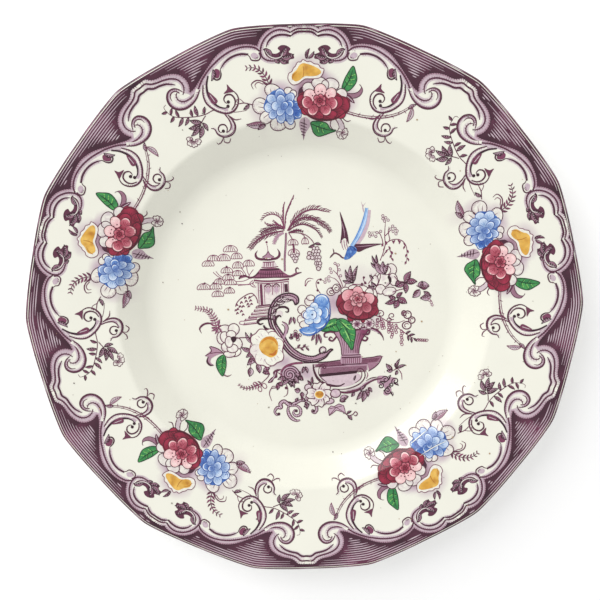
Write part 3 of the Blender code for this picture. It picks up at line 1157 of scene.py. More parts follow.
def side_sprays(pen):
    """The fern, bell flower and thorny stem that reach past the branches on either side."""
    pen.line([
        (-24, 92.8), (-30, 92), (-38.5, 93), (-43, 91), (-47, 90), (-55, 89.5), (-58, 90), (-60.5, 91.8),
        (-61.8, 93.8), (-60.9, 95),
    ], 0.42, 0.8, 3, start=0.5, end=0.5)
    for base, tip, width in [
        ((-53.4, 89.6), (-55.6, 85.4), 1.5), ((-50.8, 89.7), (-52.6, 85.9), 1.4),
        ((-55, 89.6), (-56.6, 93), 1.3), ((-57.4, 90), (-59.2, 87.2), 1.3),
        ((-58.8, 90.4), (-58, 93.8), 1.2), ((-60.4, 92), (-63, 91), 1.2),
        ((-46.5, 90.2), (-47.8, 94.8), 1.7), ((-49, 89.9), (-49.6, 93.2), 1.3),
        ((-43.6, 91), (-43.2, 94.4), 1.3),
    ]:
        leaf(pen, base, tip, width, 0.06, 0.85, 0.6, edge=0.2)
    pen.line([(-43, 90.4), (-44, 89), (-45.4, 86.6)], 0.42, 0.85, 3)
    for base, tip, width in [
        ((-45, 87.6), (-50.4, 88.2), 2.1), ((-45.2, 86.4), (-51, 84.6), 2.3),
        ((-44.8, 85.8), (-46.2, 80.2), 2.2), ((-46, 86), (-50, 81.2), 2.0),
        ((-44.6, 87.2), (-42.2, 83.6), 1.7),
    ]:
        leaf(pen, base, tip, width, 0.08, 0.88, 0.5)
    for x, y, turn in [(-49.4, 80.2, 200), (-49.8, 79.4, 240), (-49.2, 79, 290), (-48.2, 79.6, 330)]:
        white_petal(pen, x, y, 2.9, 2.5, turn, 0.36, 0.85)
    dots(pen, [(-49.4, 79.6), (-50.1, 79), (-48.9, 78.6)], 0.3, 0.9, 6)
    pen.line([(-21.5, 95.3), (-25, 96), (-29.5, 95.3)], 0.42, 0.8, 3, end=0.5)
    leaf(pen, (-22.8, 95.6), (-25.6, 93.2), 1.5, 0.1, 0.8, 0.5)
    pen.line([(-25, 96), (-27.4, 97.8), (-28.8, 96.8), (-27.8, 96.2)], 0.3, 0.75, 3, end=0.5)
    stem = curve([(22, 91.5), (30, 89.5), (38, 89), (46, 90.5), (52, 93.5)])
    pen.path(stem, 0.5, 0.75, 3, end=0.6)
    pen.path(stem + (0, 0.9), 0.32, 0.7, 3, end=0.6)
    for index in range(8, len(stem) - 6, 9):
        x, y = stem[index]
        way = 1 if index % 2 else -1
        pen.line([(x, y + 0.4), (x + 1, y + 0.4 + 1.2 * way)], 0.3, 0.8, 3, end=0.2)
    leaf(pen, (52.5, 93.5), (50, 87.2), 2.2, 0.1, 0.45, 0.2)
    leaf(pen, (50.6, 92.8), (54.2, 94.8), 1.5, 0.1, 0.7, 0.4)


SUNK = (0.2, 1.8, 2.7, 2.8, 2.3)  # mm that each bouquet lies nearer the well, clockwise
DRIFT = 0.7                   # mm, the most by which a transfer's place varies


def border_sprays(films):
    for repeat, sunk in enumerate(SUNK):
        turn = BORDER_TURN - PANEL_TURN * repeat
        drift = (rng.random(2) - 0.5) * DRIFT
        begin()
        side_sprays(Pen(films, turn, (-2.3 + drift[0], drift[1]), last=BORDER_SHIFT))
        bouquet(Pen(films, turn, (-2.1 + drift[0], drift[1] - sunk), last=BORDER_SHIFT))


# ---------------------------------------------------------------- the well: palm, pagoda, tree

BARB_DROOP = math.degrees(0.45)  # by which the outer half of a frond's barb bends back


def frond(pen, spine, barb, sides=(1,), width=0.6, tone=0.74, gap=1.15, lean=46):
    """A palm frond: a tapering spine with swept barbs on one side or both."""
    path = curve(spine)
    pen.path(path, width, tone, 3, start=0.8, end=0.25)
    lengths = lengths_along(path)
    total = lengths[-1]
    for at in np.arange(0.14 * total, 0.96 * total, gap):
        x, y = point_at(path, lengths, at)
        ahead = point_at(path, lengths, min(at + 0.5, total))
        heading = math.degrees(math.atan2(ahead[1] - y, ahead[0] - x))
        for side in sides:
            reach = 1.35 * barb * (0.55 + 0.45 * math.sin(math.pi * at / total))
            reach *= 0.8 + 0.4 * rng.random()
            angle = heading + side * (lean + 12 * (rng.random() - 0.5))
            mid = from_point(x, y, angle, 0.55 * reach)
            far = from_point(*mid, angle - side * BARB_DROOP, 0.45 * reach)
            pen.line([(x, y), mid, far], 0.42, tone, 3, end=0.15)


def palm(pen):
    trunk = [(-8.2, 37), (-8.7, 30), (-9.3, 24), (-9.4, 18)]
    pen.line(trunk, 0.95, 0.45, 2)
    pen.line([(x - 0.35, y) for x, y in trunk], 0.32, 0.85, 3)
    pen.line([(x + 0.35, y) for x, y in trunk], 0.25, 0.7, 3)
    frond(pen, [(-9.2, 38), (-9.3, 45), (-8.9, 50), (-8.3, 52)], 1.6, (1,), 0.6, 0.7, 1.6, 20)
    frond(pen, [(-8.8, 39), (-8, 46), (-6, 51), (-3.9, 55.4)], 1.9, (-1,), 0.6, 0.7, 1.7, 18)
    frond(pen, [(-9.5, 41), (-11, 44.5), (-14.5, 46.3), (-18, 45.4), (-20.3, 43)], 1.9, (-1,), 0.55, 0.72)
    frond(pen, [(-9.5, 39.5), (-12, 41.2), (-14.4, 43.6)], 1.2, (1,), 0.7, 0.75)
    frond(pen, [(-9.3, 40), (-13, 41.2), (-16.5, 40.8), (-18.8, 42.2)], 1.2, (-1,), 0.6, 0.7)
    frond(pen, [(-9.5, 39), (-14, 39.8), (-18, 38.6), (-20.8, 37.4)], 2.0, (1, -1), 0.9, 0.85, 0.95)
    frond(
        pen, [(-9.5, 38), (-15, 37.1), (-19, 35.9), (-23, 33.4), (-26.8, 29.3)], 2.3, (1, -1), 0.9, 0.78,
        1.05,
    )
    frond(pen, [(-9.4, 37), (-12, 36), (-13.8, 33.6), (-14.4, 31.4)], 1.3, (1, -1), 1.2, 0.42)
    frond(
        pen, [(-7.5, 38), (-5, 42), (-1.5, 45.5), (3, 47.7), (7, 48), (10, 47.2), (13.6, 46.4)], 2.6,
        (1,), 0.8,
    )
    frond(
        pen, [(-7, 38.5), (-4, 42), (0, 44), (5, 43.8), (9, 41.5), (12, 39.4), (13.9, 36.5)], 2.0,
        (1, -1), 0.8, 0.8, 1.0,
    )
    frond(pen, [(-7, 38), (-4, 40), (0, 41), (4, 39.7), (7, 37.5), (9.3, 33.7)], 1.9, (1,), 0.75, 0.8)
    frond(pen, [(-7, 37), (-4, 37.9), (-1.5, 38), (0.2, 37.3)], 1.0, (1, -1), 0.9, 0.85)
    for stem in (
        [(-7, 37), (-3, 36.9), (1, 35.9), (4, 33.5), (5.6, 31)], [(-7, 37), (-5.8, 35), (-5.2, 33.5)],
        [(-1, 36.5), (0.4, 35.6), (0.9, 34.4)],
    ):
        pen.line(stem, 0.42, 0.75, 3)
    palm_fruit(pen)


def palm_fruit(pen):
    puff(pen, -5, 31.4, 5, 2.4)
    puff(pen, 1, 31.8, 3.4, 2.6)
    pen.line([(-5, 31.6), (-4.6, 29), (-4.7, 27)], 0.9, 0.8, 3)
    puff(pen, -4.7, 26.4, 5.6, 2.6)
    rings(pen, [(-5.6, 25.6), (-4, 25.6), (-3, 26), (-4.8, 24.4), (-3.5, 24.2), (-4.1, 23)], 0.85)
    leaf(pen, (5.6, 31), (2.6, 29.6), 1.3, 0.1, 0.8, 0.5)
    leaf(pen, (5.6, 31.2), (8.9, 30.6), 1.2, 0.1, 0.8, 0.5)
    for row in range(7):
        y = 29 - 1.5 * row
        across = (-1.3, 0.2, 1.6) if row in (1, 3, 5) else (-0.6, 0.9)
        rings(pen, [(6 + 0.22 * row + x * (1 - 0.07 * row), y) for x in across], 0.86, 0.88)
    rings(pen, [(7.3, 18.9), (3, 26.6), (3.6, 25.2), (2.6, 24.6), (4.4, 24.4)], 0.95)


def puff(pen, x, y, width, height, tone=0.66):
    """A flat-bottomed cloud of foliage, ribbed like a shell, with a darker crown."""
    top = oval(x, y, width / 2, height, 0, 0, 180)
    pen.area(np.vstack([top, [(x - width / 2, y)]])[:-1], 0.03, 2, cell=FLAT)
    pen.path(top, 0.36, tone, 3)
    lobes = max(3, round(width / 1.1))
    for number in range(lobes):
        left = x - width / 2 + width * number / lobes
        pen.path(oval(left + width / lobes / 2, y, width / lobes / 2, 0.55, 0, 180, 360), 0.32, tone, 3)
    for number in range(1, lobes):
        share = 2 * number / lobes - 1
        base = (x + share * width * 0.46, y + 0.1)
        crown = (x + share * width * 0.3, y + height * math.sqrt(1 - 0.8 * share * share) * 0.92)
        pen.line([base, crown], 0.34, tone, 3, start=0.8, end=0.5)
    pen.path(oval(x, y, width * 0.22, height * 0.9, 0, 50, 130), 0.42, tone + 0.1, 4, start=0.2, end=0.2)


def cloud_tree(pen):
    for start, mid, end in [
        ((-45, 18.6), (-43, 16.6), (-41, 15.4)), ((-43.6, 19), (-42, 17), (-40, 15.6)),
        ((-28.3, 22), (-28, 18.5), (-27, 16)), ((-25, 19.4), (-26.6, 17.4), (-27.6, 15.8)),
        ((-31, 20.4), (-29.4, 18), (-28.4, 16)), ((-35, 12.4), (-29, 12), (-25, 12.6)),
        ((-34, 13.6), (-30, 13.8), (-27, 15)), ((-33, 11.6), (-30, 11.8), (-26.5, 12)),
    ]:
        pen.line([start, mid, end], 0.36, 0.6, 2)
    for x, y, width, height in [
        (-36, 29, 7, 2.6), (-44.5, 24.7, 6, 2.4), (-47.3, 22.2, 6, 2.3), (-39.4, 24.6, 6.4, 2.9),
        (-33, 25.4, 5.4, 2.5), (-32.6, 20.8, 5.4, 2.7), (-27.2, 21.6, 5.6, 2.6), (-38.2, 18.6, 5.8, 2.3),
        (-32.8, 17, 5.4, 2.2), (-37.6, 15, 5.6, 2.4), (-42.2, 13, 5, 2.4), (-36.6, 12.6, 6, 2.2),
        (-50, 10.6, 6.6, 2.5), (-44, 10.6, 6, 2.4), (-37.4, 8.4, 5.2, 2.3), (-43.2, 6.9, 5.8, 2.4),
    ]:
        puff(pen, x, y, width, height)
    dots(pen, [(-49.4, 13.2), (-45, 13.2), (-38.2, 21.2), (-37.6, 17.3), (-37, 10.7)], 0.5, 0.85)


def roofs(pen):
    """The pagoda's two tiled roofs with their curled eaves, and the finial."""
    dots(pen, [(-18, 32.7)], 0.55, 0.75)
    pen.line([(-18, 32), (-17.6, 30), (-17.5, 28)], 0.3, 0.6, 3)
    pen.fill([(-20.4, 25.2), (-18.5, 26.5), (-17.4, 28.3), (-16.4, 26.5), (-14.6, 25.2)], 0.45, 3)
    pen.line([(-20.4, 25.4), (-18.5, 26.6), (-17.4, 28.3)], 0.35, 0.85, 4)
    pen.line([(-17.4, 28.3), (-16.4, 26.6), (-14.6, 25.4)], 0.35, 0.85, 4)
    for horn in (
        [(-22.6, 28.7), (-23.6, 27), (-23.2, 25.3), (-21.5, 24.4), (-19, 24.3)],
        [(-12.8, 29.3), (-11.9, 27.6), (-12, 25.8), (-13.5, 24.6), (-16, 24.3)],
    ):
        pen.line(horn, 1.2, 0.85, 3, start=0.15)
    pen.line([(-20.6, 24.2), (-17.4, 24), (-14, 24.3)], 0.9, 0.9, 4)
    pen.line([(-20.2, 22.9), (-17.4, 22.7), (-14.3, 23)], 0.5, 0.75, 4)
    pen.fill([(-20, 22.8), (-20.4, 20.5), (-13.6, 20.6), (-14.4, 22.9)], 0.14, 2)
    for x in (-19.5, -18.2, -17.4, -16.4, -15.1):
        pen.line([(x, 22.8), (x - 0.1, 20.6)], 0.42, 0.65, 3)
    pen.line([(-21, 20.3), (-17, 20.1), (-12.6, 20.5)], 0.45, 0.75, 4)
    pen.fill([
        (-21.6, 19.4), (-18, 19.8), (-12.4, 19.6), (-10, 17.6), (-7, 16), (-4, 17.2), (-1, 17.3),
        (-3.2, 16.3), (-6, 15), (-9, 14.7), (-15, 14.9), (-21, 14.8), (-25, 14.9), (-29, 15.6),
        (-32.2, 15), (-31.3, 16.2), (-29.4, 16.9), (-27, 15.9), (-24.8, 16.2), (-23.2, 17.6),
    ], 0.6, 3)
    pen.line([(-21.6, 19.2), (-17, 19), (-12.2, 19.2)], 0.9, 0.95, 4)
    pen.line(
        [(-22.4, 18), (-24, 16.4), (-26.6, 15.2), (-29.4, 16.4), (-31.6, 16), (-32.3, 14.8)], 0.75, 0.9,
        4,
    )
    for number in range(11):
        x = -21.5 + number * 1.1
        pen.line([(x * 0.93 - 1.2, 18.2), (x, 15.4)], 0.34, 0.9, 4)
    pen.line([(-23.2, 17.2), (-17, 16.8), (-10, 17)], 0.4, 0.92, 4)
    pen.line([(-24.6, 15.3), (-16, 15.2), (-8, 15.4), (-5, 16), (-1.2, 17.3)], 0.5, 0.9, 4)
    pen.line([(-3.8, 17.2), (-3.9, 19), (-3.2, 19.6), (-2.4, 18.8)], 0.7, 0.85, 3, end=0.4)


def pagoda(pen):
    """The pagoda's walls, columns, draped windows and base."""
    pen.fill(
        [(-22.6, 13.4), (-16, 13.2), (-8.2, 13.4), (-8.4, 7), (-9.4, 1.6), (-16, 1.2), (-22.4, 1)], 0.08,
        2,
    )
    pen.line([(-25, 14), (-20, 13.4), (-14, 13.4), (-7.4, 14.1)], 0.85, 0.75, 3)
    pen.line([(-24.4, 12.8), (-19, 12.3), (-14, 12.4), (-7.6, 13)], 0.5, 0.7, 3)
    pen.line([(-25.4, 14), (-27, 12.6), (-25.8, 10.9), (-24, 10.6)], 0.4, 0.6, 3)
    pen.line([(-24.8, 13.4), (-25.8, 12.4), (-24.6, 11.2)], 0.4, 0.6, 3)
    for x, width, tone, top, low in [
        (-22.9, 0.4, 0.7, 12.6, 1.6), (-21.5, 1.3, 0.8, 12, 1.6), (-20, 0.4, 0.55, 12, 1.8),
        (-11.4, 0.4, 0.6, 12.2, 5.4), (-10.4, 0.5, 0.5, 12.2, 6), (-9.1, 1.7, 0.95, 11.7, 7.6),
        (-7.9, 0.35, 0.6, 12.6, 6.6),
    ]:
        pen.line([(x, top), (x + 0.15, low)], width, tone, 3)
    for x in (-18, -13.9):
        pen.path(oval(x, 10.4, 1.5, 1.4, 0, 0, 180), 0.65, 0.85, 4)
        pen.path(oval(x, 10, 0.85, 1.0, 0, 0, 180), 0.4, 0.6, 4)
        for offset in (-1.5, -0.8, 0, 0.8, 1.5):
            drop = 3.6 - abs(offset) * 0.8
            pen.line([(x + offset, 10.2), (x + 0.8 * offset, 10 - drop)], 0.4, 0.38, 3, end=0.3)
        pen.area(oval(x, 9.2, 0.8, 1.5)[:-1], 0.28, 3, cell=FLAT)
    pen.line([(-15.9, 12), (-15.9, 6.5)], 0.4, 0.6, 3)
    pen.line([(-23.6, 1), (-20, 1.3), (-17.2, 1.5)], 0.75, 0.85, 4)
    for y, left, right in [
        (0, -24.6, -17.2), (-1.7, -25.6, -17.8), (-3.3, -27, -18.2), (-4.9, -28.4, -18.4),
        (-6.3, -30.4, -24), (-8.3, -31, -23.4),
    ]:
        pen.line([(left, y), (right, y + 0.7)], 0.5, 0.72, 3)
        pen.line([(left + 0.4, y + 0.7), (right, y + 1.35)], 0.4, 0.4, 2)
        pen.line([(left, y), (left + 0.7, y + 1.1)], 0.4, 0.72, 3)
    pen.line([(-31, -8.3), (-33, -7.6), (-32.6, -6.6), (-30.4, -6.4)], 0.4, 0.55, 3)


def hanging_sprig(pen):
    pen.line(
        [(-23.4, 2.4), (-24, 5), (-26, 7.4), (-28, 7.2), (-31, 5.6), (-33, 4), (-34.4, 2)], 0.5, 0.75, 3,
    )
    pen.line([(-25, 6.6), (-27, 5.6), (-28, 4.6)], 0.4, 0.75, 3)
    for x, y, size in [
        (-34, 2.6, 1.7), (-32.4, 1.8, 1.7), (-33.6, 0.4, 1.6), (-31.6, 3.8, 1.6), (-30.8, 1.8, 1.5),
        (-29.2, 4.4, 1.6), (-28.4, 2.9, 1.6), (-27, 4.6, 1.5), (-26.6, 2.8, 1.4), (-28, 1.6, 1.3),
        (-31.8, -0.6, 1.6), (-33.8, -1.6, 1.5), (-31, -2.4, 1.4), (-34.6, -0.2, 1.2), (-29.6, 6, 1.4),
        (-27.4, 6.2, 1.3),
    ]:
        leaf(pen, (x, y), (x - 0.5 * size, y - size), 0.7, 0.08, 0.85, 0.7, edge=0)
        leaf(pen, (x, y), (x + 0.6 * size, y - 0.8 * size), 0.6, -0.08, 0.8, 0.65, edge=0)


def bird(pen):
    """The long-tailed bird above the flowers: two dark wings, a blue body and a blue tail."""
    tail = curve([(24, 29.5), (27, 34), (29.8, 40), (31, 44), (31.8, 48)])
    pen.path(tail + (1.3, -1.0), 2.6, 0.24, 2, start=0.3, end=0.5)
    both = np.vstack([tail, tail])
    mixed = TAIL_BLUE + (SKY - TAIL_BLUE) * wander(both, 3)[:, None]
    pen.path(tail, 2.3, layer=5, start=0.75, end=0.6, film="blue", colour=mixed)
    pen.path(tail + (0.5, 0.1), 0.55, layer=6, start=0.3, end=0.3, colour=TAIL_LIGHT, film="blue")
    pen.path(tail - (0.7, -0.2), 0.4, layer=6, start=0.3, end=0.3, colour=ROYAL, film="blue")
    for end in ((29, 51.2), (29.7, 49.6), (31.2, 50.6)):
        pen.line([(30.2, 46), (29.8, 48.6), end], 0.3, 0.35, 3, end=0.2)
    pen.fill([
        (18.5, 46.6), (19.2, 40), (18.9, 35), (18.4, 31), (19.6, 33), (20.8, 33.6), (22.5, 30.6),
        (22.2, 35), (20.6, 41),
    ], 0.92, 3)
    pen.line([(19.2, 42), (20.4, 37), (20.6, 34.2)], 0.3, 0.35, 4, start=0.2, end=0.3)
    for x in (19, 20.2, 21.4):
        pen.line([(x, 32.6), (x + 0.3, 29.8), (x + 1, 27.8)], 0.4, 0.5, 3, end=0.4)
    pen.fill(
        [(24, 30.2), (29, 30.5), (39, 30.2), (35, 29.2), (31, 28), (27.4, 26.6), (25.4, 27.8)], 0.92, 3,
    )
    pen.line([(26, 29.2), (31, 29.4), (36, 29.9)], 0.3, 0.4, 4, start=0.2, end=0.2)
    pen.fill([(20.2, 23.1), (21, 26), (22.4, 29.2), (24.6, 29.6), (26.4, 28.2), (26.2, 26.4), (24.8, 25),
              (22.4, 23.2)], layer=5, colour=brushed(DEEP_BLUE, ROYAL, 1.4, 3, SKY), film="blue", cell=0.7)
    pen.line([(22.6, 29.4), (24.6, 29), (26, 27.4)], 0.35, layer=6, colour=NAVY, film="blue")
    pen.line([(21.6, 24), (19.5, 23.9), (17.8, 25.4), (16, 26.3), (14.9, 26.2)], 0.75, 0.85, 3, start=0.6)
    pen.line([(15.2, 26.3), (13.9, 25), (13, 24)], 0.75, 0.9, 3, end=0.2)
    pen.line([(15.1, 26.2), (15, 27.6), (14.7, 28.6)], 0.5, 0.9, 3, end=0.3)


def tall_spray(pen):
    """The tall spray of small buds at the right, and the twig that arches over from it."""
    for stem in (
        [(38, 22), (39.6, 26), (40.6, 30), (40.4, 34), (40.6, 38), (41, 42)],
        [(40.5, 34), (42.6, 36), (44.2, 38.4)], [(42.8, 33), (42.2, 36), (42.6, 38.6)],
        [(39.6, 29), (39, 33), (37.4, 35.8), (33.6, 36.2)],
        [(39.6, 27), (41.4, 30.6), (44.6, 32.2), (48.4, 31.8), (50.8, 29.2), (51.4, 25), (51, 20)],
        [(39.4, 24), (41, 26.4), (43, 28)], [(42.6, 28), (43.6, 25), (43.6, 22.4)],
        [(43, 33), (42.4, 31)],
    ):
        pen.line(stem, 0.42, 0.72, 3, end=0.5)
    rings(
        pen,
        [
            (41, 43), (39.6, 42.6), (42.2, 41.8), (40.4, 41.4), (39.6, 44), (44.4, 38.8), (45.6, 37.6),
            (46.6, 36.4), (43.4, 37.4), (44.6, 36.2), (32.8, 35.8), (34.4, 34.8), (36, 34), (33, 34.2),
            (36.6, 35.8), (38.4, 36.4), (46, 35),
        ],
        0.62, 0.78,
    )
    for x, y, way in [
        (44, 31.8, 1), (45.6, 32, -1), (46.8, 32.2, 1), (48.4, 31.6, -1), (49.6, 30.6, 1), (50.6, 29, -1),
        (51.2, 27, 1), (51.5, 25, -1), (51.4, 23, 1), (51.2, 21.4, -1), (43.4, 26.6, 1), (43.8, 24.8, -1),
        (43.6, 23.2, 1), (41.8, 27.4, -1), (40.6, 31.6, 1), (42.2, 29, 1), (39.8, 30.6, -1),
    ]:
        leaf(pen, (x, y), (x + 0.9 * way, y - 1.9), 0.85, 0.1 * way, 0.8, 0.65, edge=0)


def right_blossoms(pen):
    """The outlined blossoms and dark leaves to the right of the rose."""
    for stem in ([(36, 21), (37.4, 18), (38, 14), (36, 9), (33, 6)], [(45, 14), (47, 11.6), (50, 11)],
                 [(56, 9), (58, 8), (60, 8.4)], [(44, 6), (47, 7), (50, 7.6)]):
        pen.line(stem, 0.45, 0.8, 3)
    for x, y, rx, ry, turn in [
        (39.6, 12.4, 3.4, 3.7, 0), (43.6, 17.4, 2.5, 2.9, 20), (44.4, 12.4, 2.1, 3.1, 10),
        (41.2, 17, 2, 2.2, 0), (38, 7.6, 2.5, 2.4, 0), (42.4, 6.4, 3.4, 2.1, 10), (35.4, 12, 1.6, 2.6, 0),
        (34.6, 4.4, 1.7, 3.6, 0),
    ]:
        edged_oval(pen, x, y, rx, ry, turn, 0.88, 0.42, wash_tone=0.3)
    pen.fill([(42, 14.6), (43.4, 13.2), (43.4, 11), (42.4, 10.2), (42.4, 12), (41.6, 13.4)], 1.0, 5)
    for base, tip, width, lit in [
        ((40.2, 15), (35.6, 21.6), 3.4, 0.35), ((40.2, 15), (39.4, 21.6), 2.8, 0.3),
        ((40.4, 15.2), (42, 20.4), 2, 0.3), ((50.4, 10.4), (53.2, 16.2), 3.2, 0.55),
        ((50.8, 10.6), (56.4, 11), 3.0, 0.6), ((50.2, 10.6), (50.6, 5.2), 2.6, 0.55),
        ((50, 10.8), (45.6, 8.8), 2.4, 0.55), ((57.6, 7), (54, 3), 3.2, 0.3),
        ((57.6, 8.4), (62.4, 8.6), 4.0, 0.3), ((57.8, 7.6), (59, 11.2), 2.6, 0.4),
        ((63.4, 3.8), (57.8, 2.6), 3.2, 0.3), ((62.8, 4.2), (59.6, 6), 2, 0.4),
        ((45.4, 2.2), (40.2, 0.4), 2.4, 0.6), ((46.2, 2), (45, -2.2), 3.0, 0.6),
        ((46.4, 2.4), (51.2, 0.2), 3.2, 0.6), ((46, 3), (49, 5.8), 2.0, 0.6),
        ((45.6, 3), (42, 4), 2.0, 0.6), ((47, 12), (45.4, 9), 1.8, 0.6),
    ]:
        leaf(pen, base, tip, width, 0.07, 0.85, lit)
    pen.line([(61.6, 2.6), (63.4, 1), (64.2, -1.8)], 0.45, 0.65, 3, end=0.3)
    rings(pen, [(62.4, 1.4), (63.4, 0.2), (63.8, -1)], 0.55, 0.7)


def top_sprays(pen):
    """Small sprays and buds that rise between the blue flower and the rose."""
    for stem in (
        [(19, 8), (17.6, 11), (15.6, 13.4), (13.4, 14.4)], [(19.4, 9), (18, 13), (16.4, 16), (14.4, 18)],
        [(16.6, 16), (16.8, 19), (15.8, 21)], [(20, 9), (21.4, 12.4), (23, 15.6)],
        [(24, 10.6), (28, 10.4), (31.4, 10.6)], [(8, 6.4), (6.4, 9), (6, 12), (7.4, 13.6), (10.4, 12.4)],
        [(0.4, 10.4), (0.8, 13), (2.4, 14.2), (4.6, 13.8)], [(0.6, 10.2), (2, 12.6), (3.4, 13)],
        [(33.6, 9), (34, 13), (36.2, 16)], [(30.8, 10.6), (29.6, 12.6), (29.8, 14.4)],
        [(32, 10.6), (33.6, 13.2), (33.4, 15.6)],
    ):
        pen.line(stem, 0.4, 0.7, 3, end=0.6)
    dots(
        pen,
        [
            (29.8, 13.8), (30.4, 11.2), (28.8, 10.6), (7, 11.8), (8.2, 13.4), (6.6, 8), (15, 9.2),
            (32.4, 9.6),
        ],
        0.6, 0.85,
    )
    rings(
        pen,
        [
            (13.6, 16.8), (12.4, 14.6), (13.2, 18.6), (15.6, 21.2), (17.2, 20.4), (17.6, 18), (18.2, 15),
            (11, 13.6), (12.4, 12.6), (10.4, 12),
        ],
        0.62, 0.72,
    )
    for base, tip, width in [
        ((23.6, 11), (20.6, 18), 1.9), ((24, 11), (23.2, 20), 2.3), ((24.4, 11), (26.8, 19.8), 1.9),
        ((23.6, 11.4), (19.2, 12.6), 1.6), ((24.4, 11.4), (20.8, 15), 1.7), ((24.8, 12), (25.4, 15.8), 1.6),
        ((36.4, 18), (33.4, 21.2), 1.3), ((36.4, 19.4), (34, 24.6), 1.3), ((36.8, 19.8), (36.2, 25), 1.3),
        ((34.6, 13), (32.6, 15), 1.2), ((35, 9), (31.6, 8.6), 1.4), ((36, 9.4), (33.4, 11.4), 1.3),
    ]:
        leaf(pen, base, tip, width, 0.06, 0.88, 0.35)
    for x, y, turn in ((13.4, 7.2, 20), (16, 8.8, 60)):
        edged_oval(pen, x, y, 2.2, 1.9, turn, 0.88, 0.42, wash_tone=0.35)
        pen.path(spiral(x, y, 0.3, 1.6, 0, 460), 0.42, 0.85, 5)


# ---------------------------------------------------------------- the well: the flowers in the urn

def rose(pen):
    """The large crimson rose over the urn."""
    for x, y, rx, ry in (
        (24.6, 8.2, 2.8, 2), (28.8, 8, 2.8, 1.8), (20.4, 7.4, 2.2, 1.8), (32.4, 6, 2, 2.4),
    ):
        edged_oval(pen, x, y, rx, ry, 0, 0.85, 0.42, wash_tone=0.2)
    outline = [
        (17, 5.4), (19.4, 6.2), (22, 8), (26, 8.2), (30, 6.8), (33, 5.6), (35.2, 3.4), (36.4, 0),
        (36, -4), (33, -6.4), (28, -7), (23, -6.4), (19.6, -3.6), (17.2, 0), (16.4, 3),
    ]
    pen.fill(outline, layer=5, colour=brushed(WINE, CRIMSON, 3.2, 1, MAROON), film="crimson", cell=0.9)
    for number, (x, y, rx, ry, turn) in enumerate([
        (19.4, 2.6, 2.9, 4.4, 160), (19.8, -1.6, 3.0, 3.4, 210), (23.6, -4.6, 3.6, 2.4, 240),
        (29.4, -5, 4.2, 2.4, 280), (34, -2.6, 3.2, 2.8, 320), (34, 2.2, 2.8, 3.0, 10),
    ]):
        painted_petal(pen, x, y, rx, ry, turn, CRIMSON * 1.1, WINE, MAROON, "crimson", number)
    for number, (x, y, rx, ry, turn) in enumerate([
        (26.6, 6.4, 3.4, 2.4, 90), (22, 4.8, 3.3, 3.0, 150), (31.4, 3, 3.5, 3.2, 20),
        (22.6, 0.2, 3.4, 2.6, 220), (26.6, -1.8, 3.8, 2.5, 265), (30.8, -1, 3.2, 2.4, 310),
    ]):
        pale, deep = (BLUSH, ROSE) if number < 3 else (ROSE * 0.8, CRIMSON * 0.8)
        painted_petal(
            pen, x, y, rx, ry, turn, pale, deep, MAROON, "crimson", number, (BLUSH, ROSE)[number > 2],
        )
    for reach, count in ((2.5, 6), (1.4, 5)):
        for petal in range(count):
            turn = 360 * petal / count + 20 * reach
            a = math.radians(turn)
            painted_petal(
                pen, 26.6 + reach * math.cos(a), 3 + 0.8 * reach * math.sin(a), 0.62 * reach + 0.3,
                0.5 * reach + 0.3, turn, BLUSH, CRIMSON, MAROON, "crimson", petal,
            )
    pen.area(oval(26.6, 3, 0.6, gap=0.2)[:-1], layer=6, colour=WINE, film="crimson", cell=FLAT)
    pen.line(
        [(17, 0), (19.6, -4), (24, -6.8), (29, -7.4), (33.8, -6), (36.2, -3)], 0.8, layer=6, start=0.3,
        end=0.3, colour=MAROON, film="crimson",
    )
    for x, y in ((26, -9.6), (32, -9.6)):
        for turn in (30, 90, 150, 210, 270, 330):
            white_petal(pen, x, y, 2.7, 2.3, turn, 0.34, 0.85, 0.3)
        dots(pen, [(x, y)], 0.6, 0.9, 6)


OUTER_PETALS = 4              # of the peony's blue ones, which are deeper than the rest


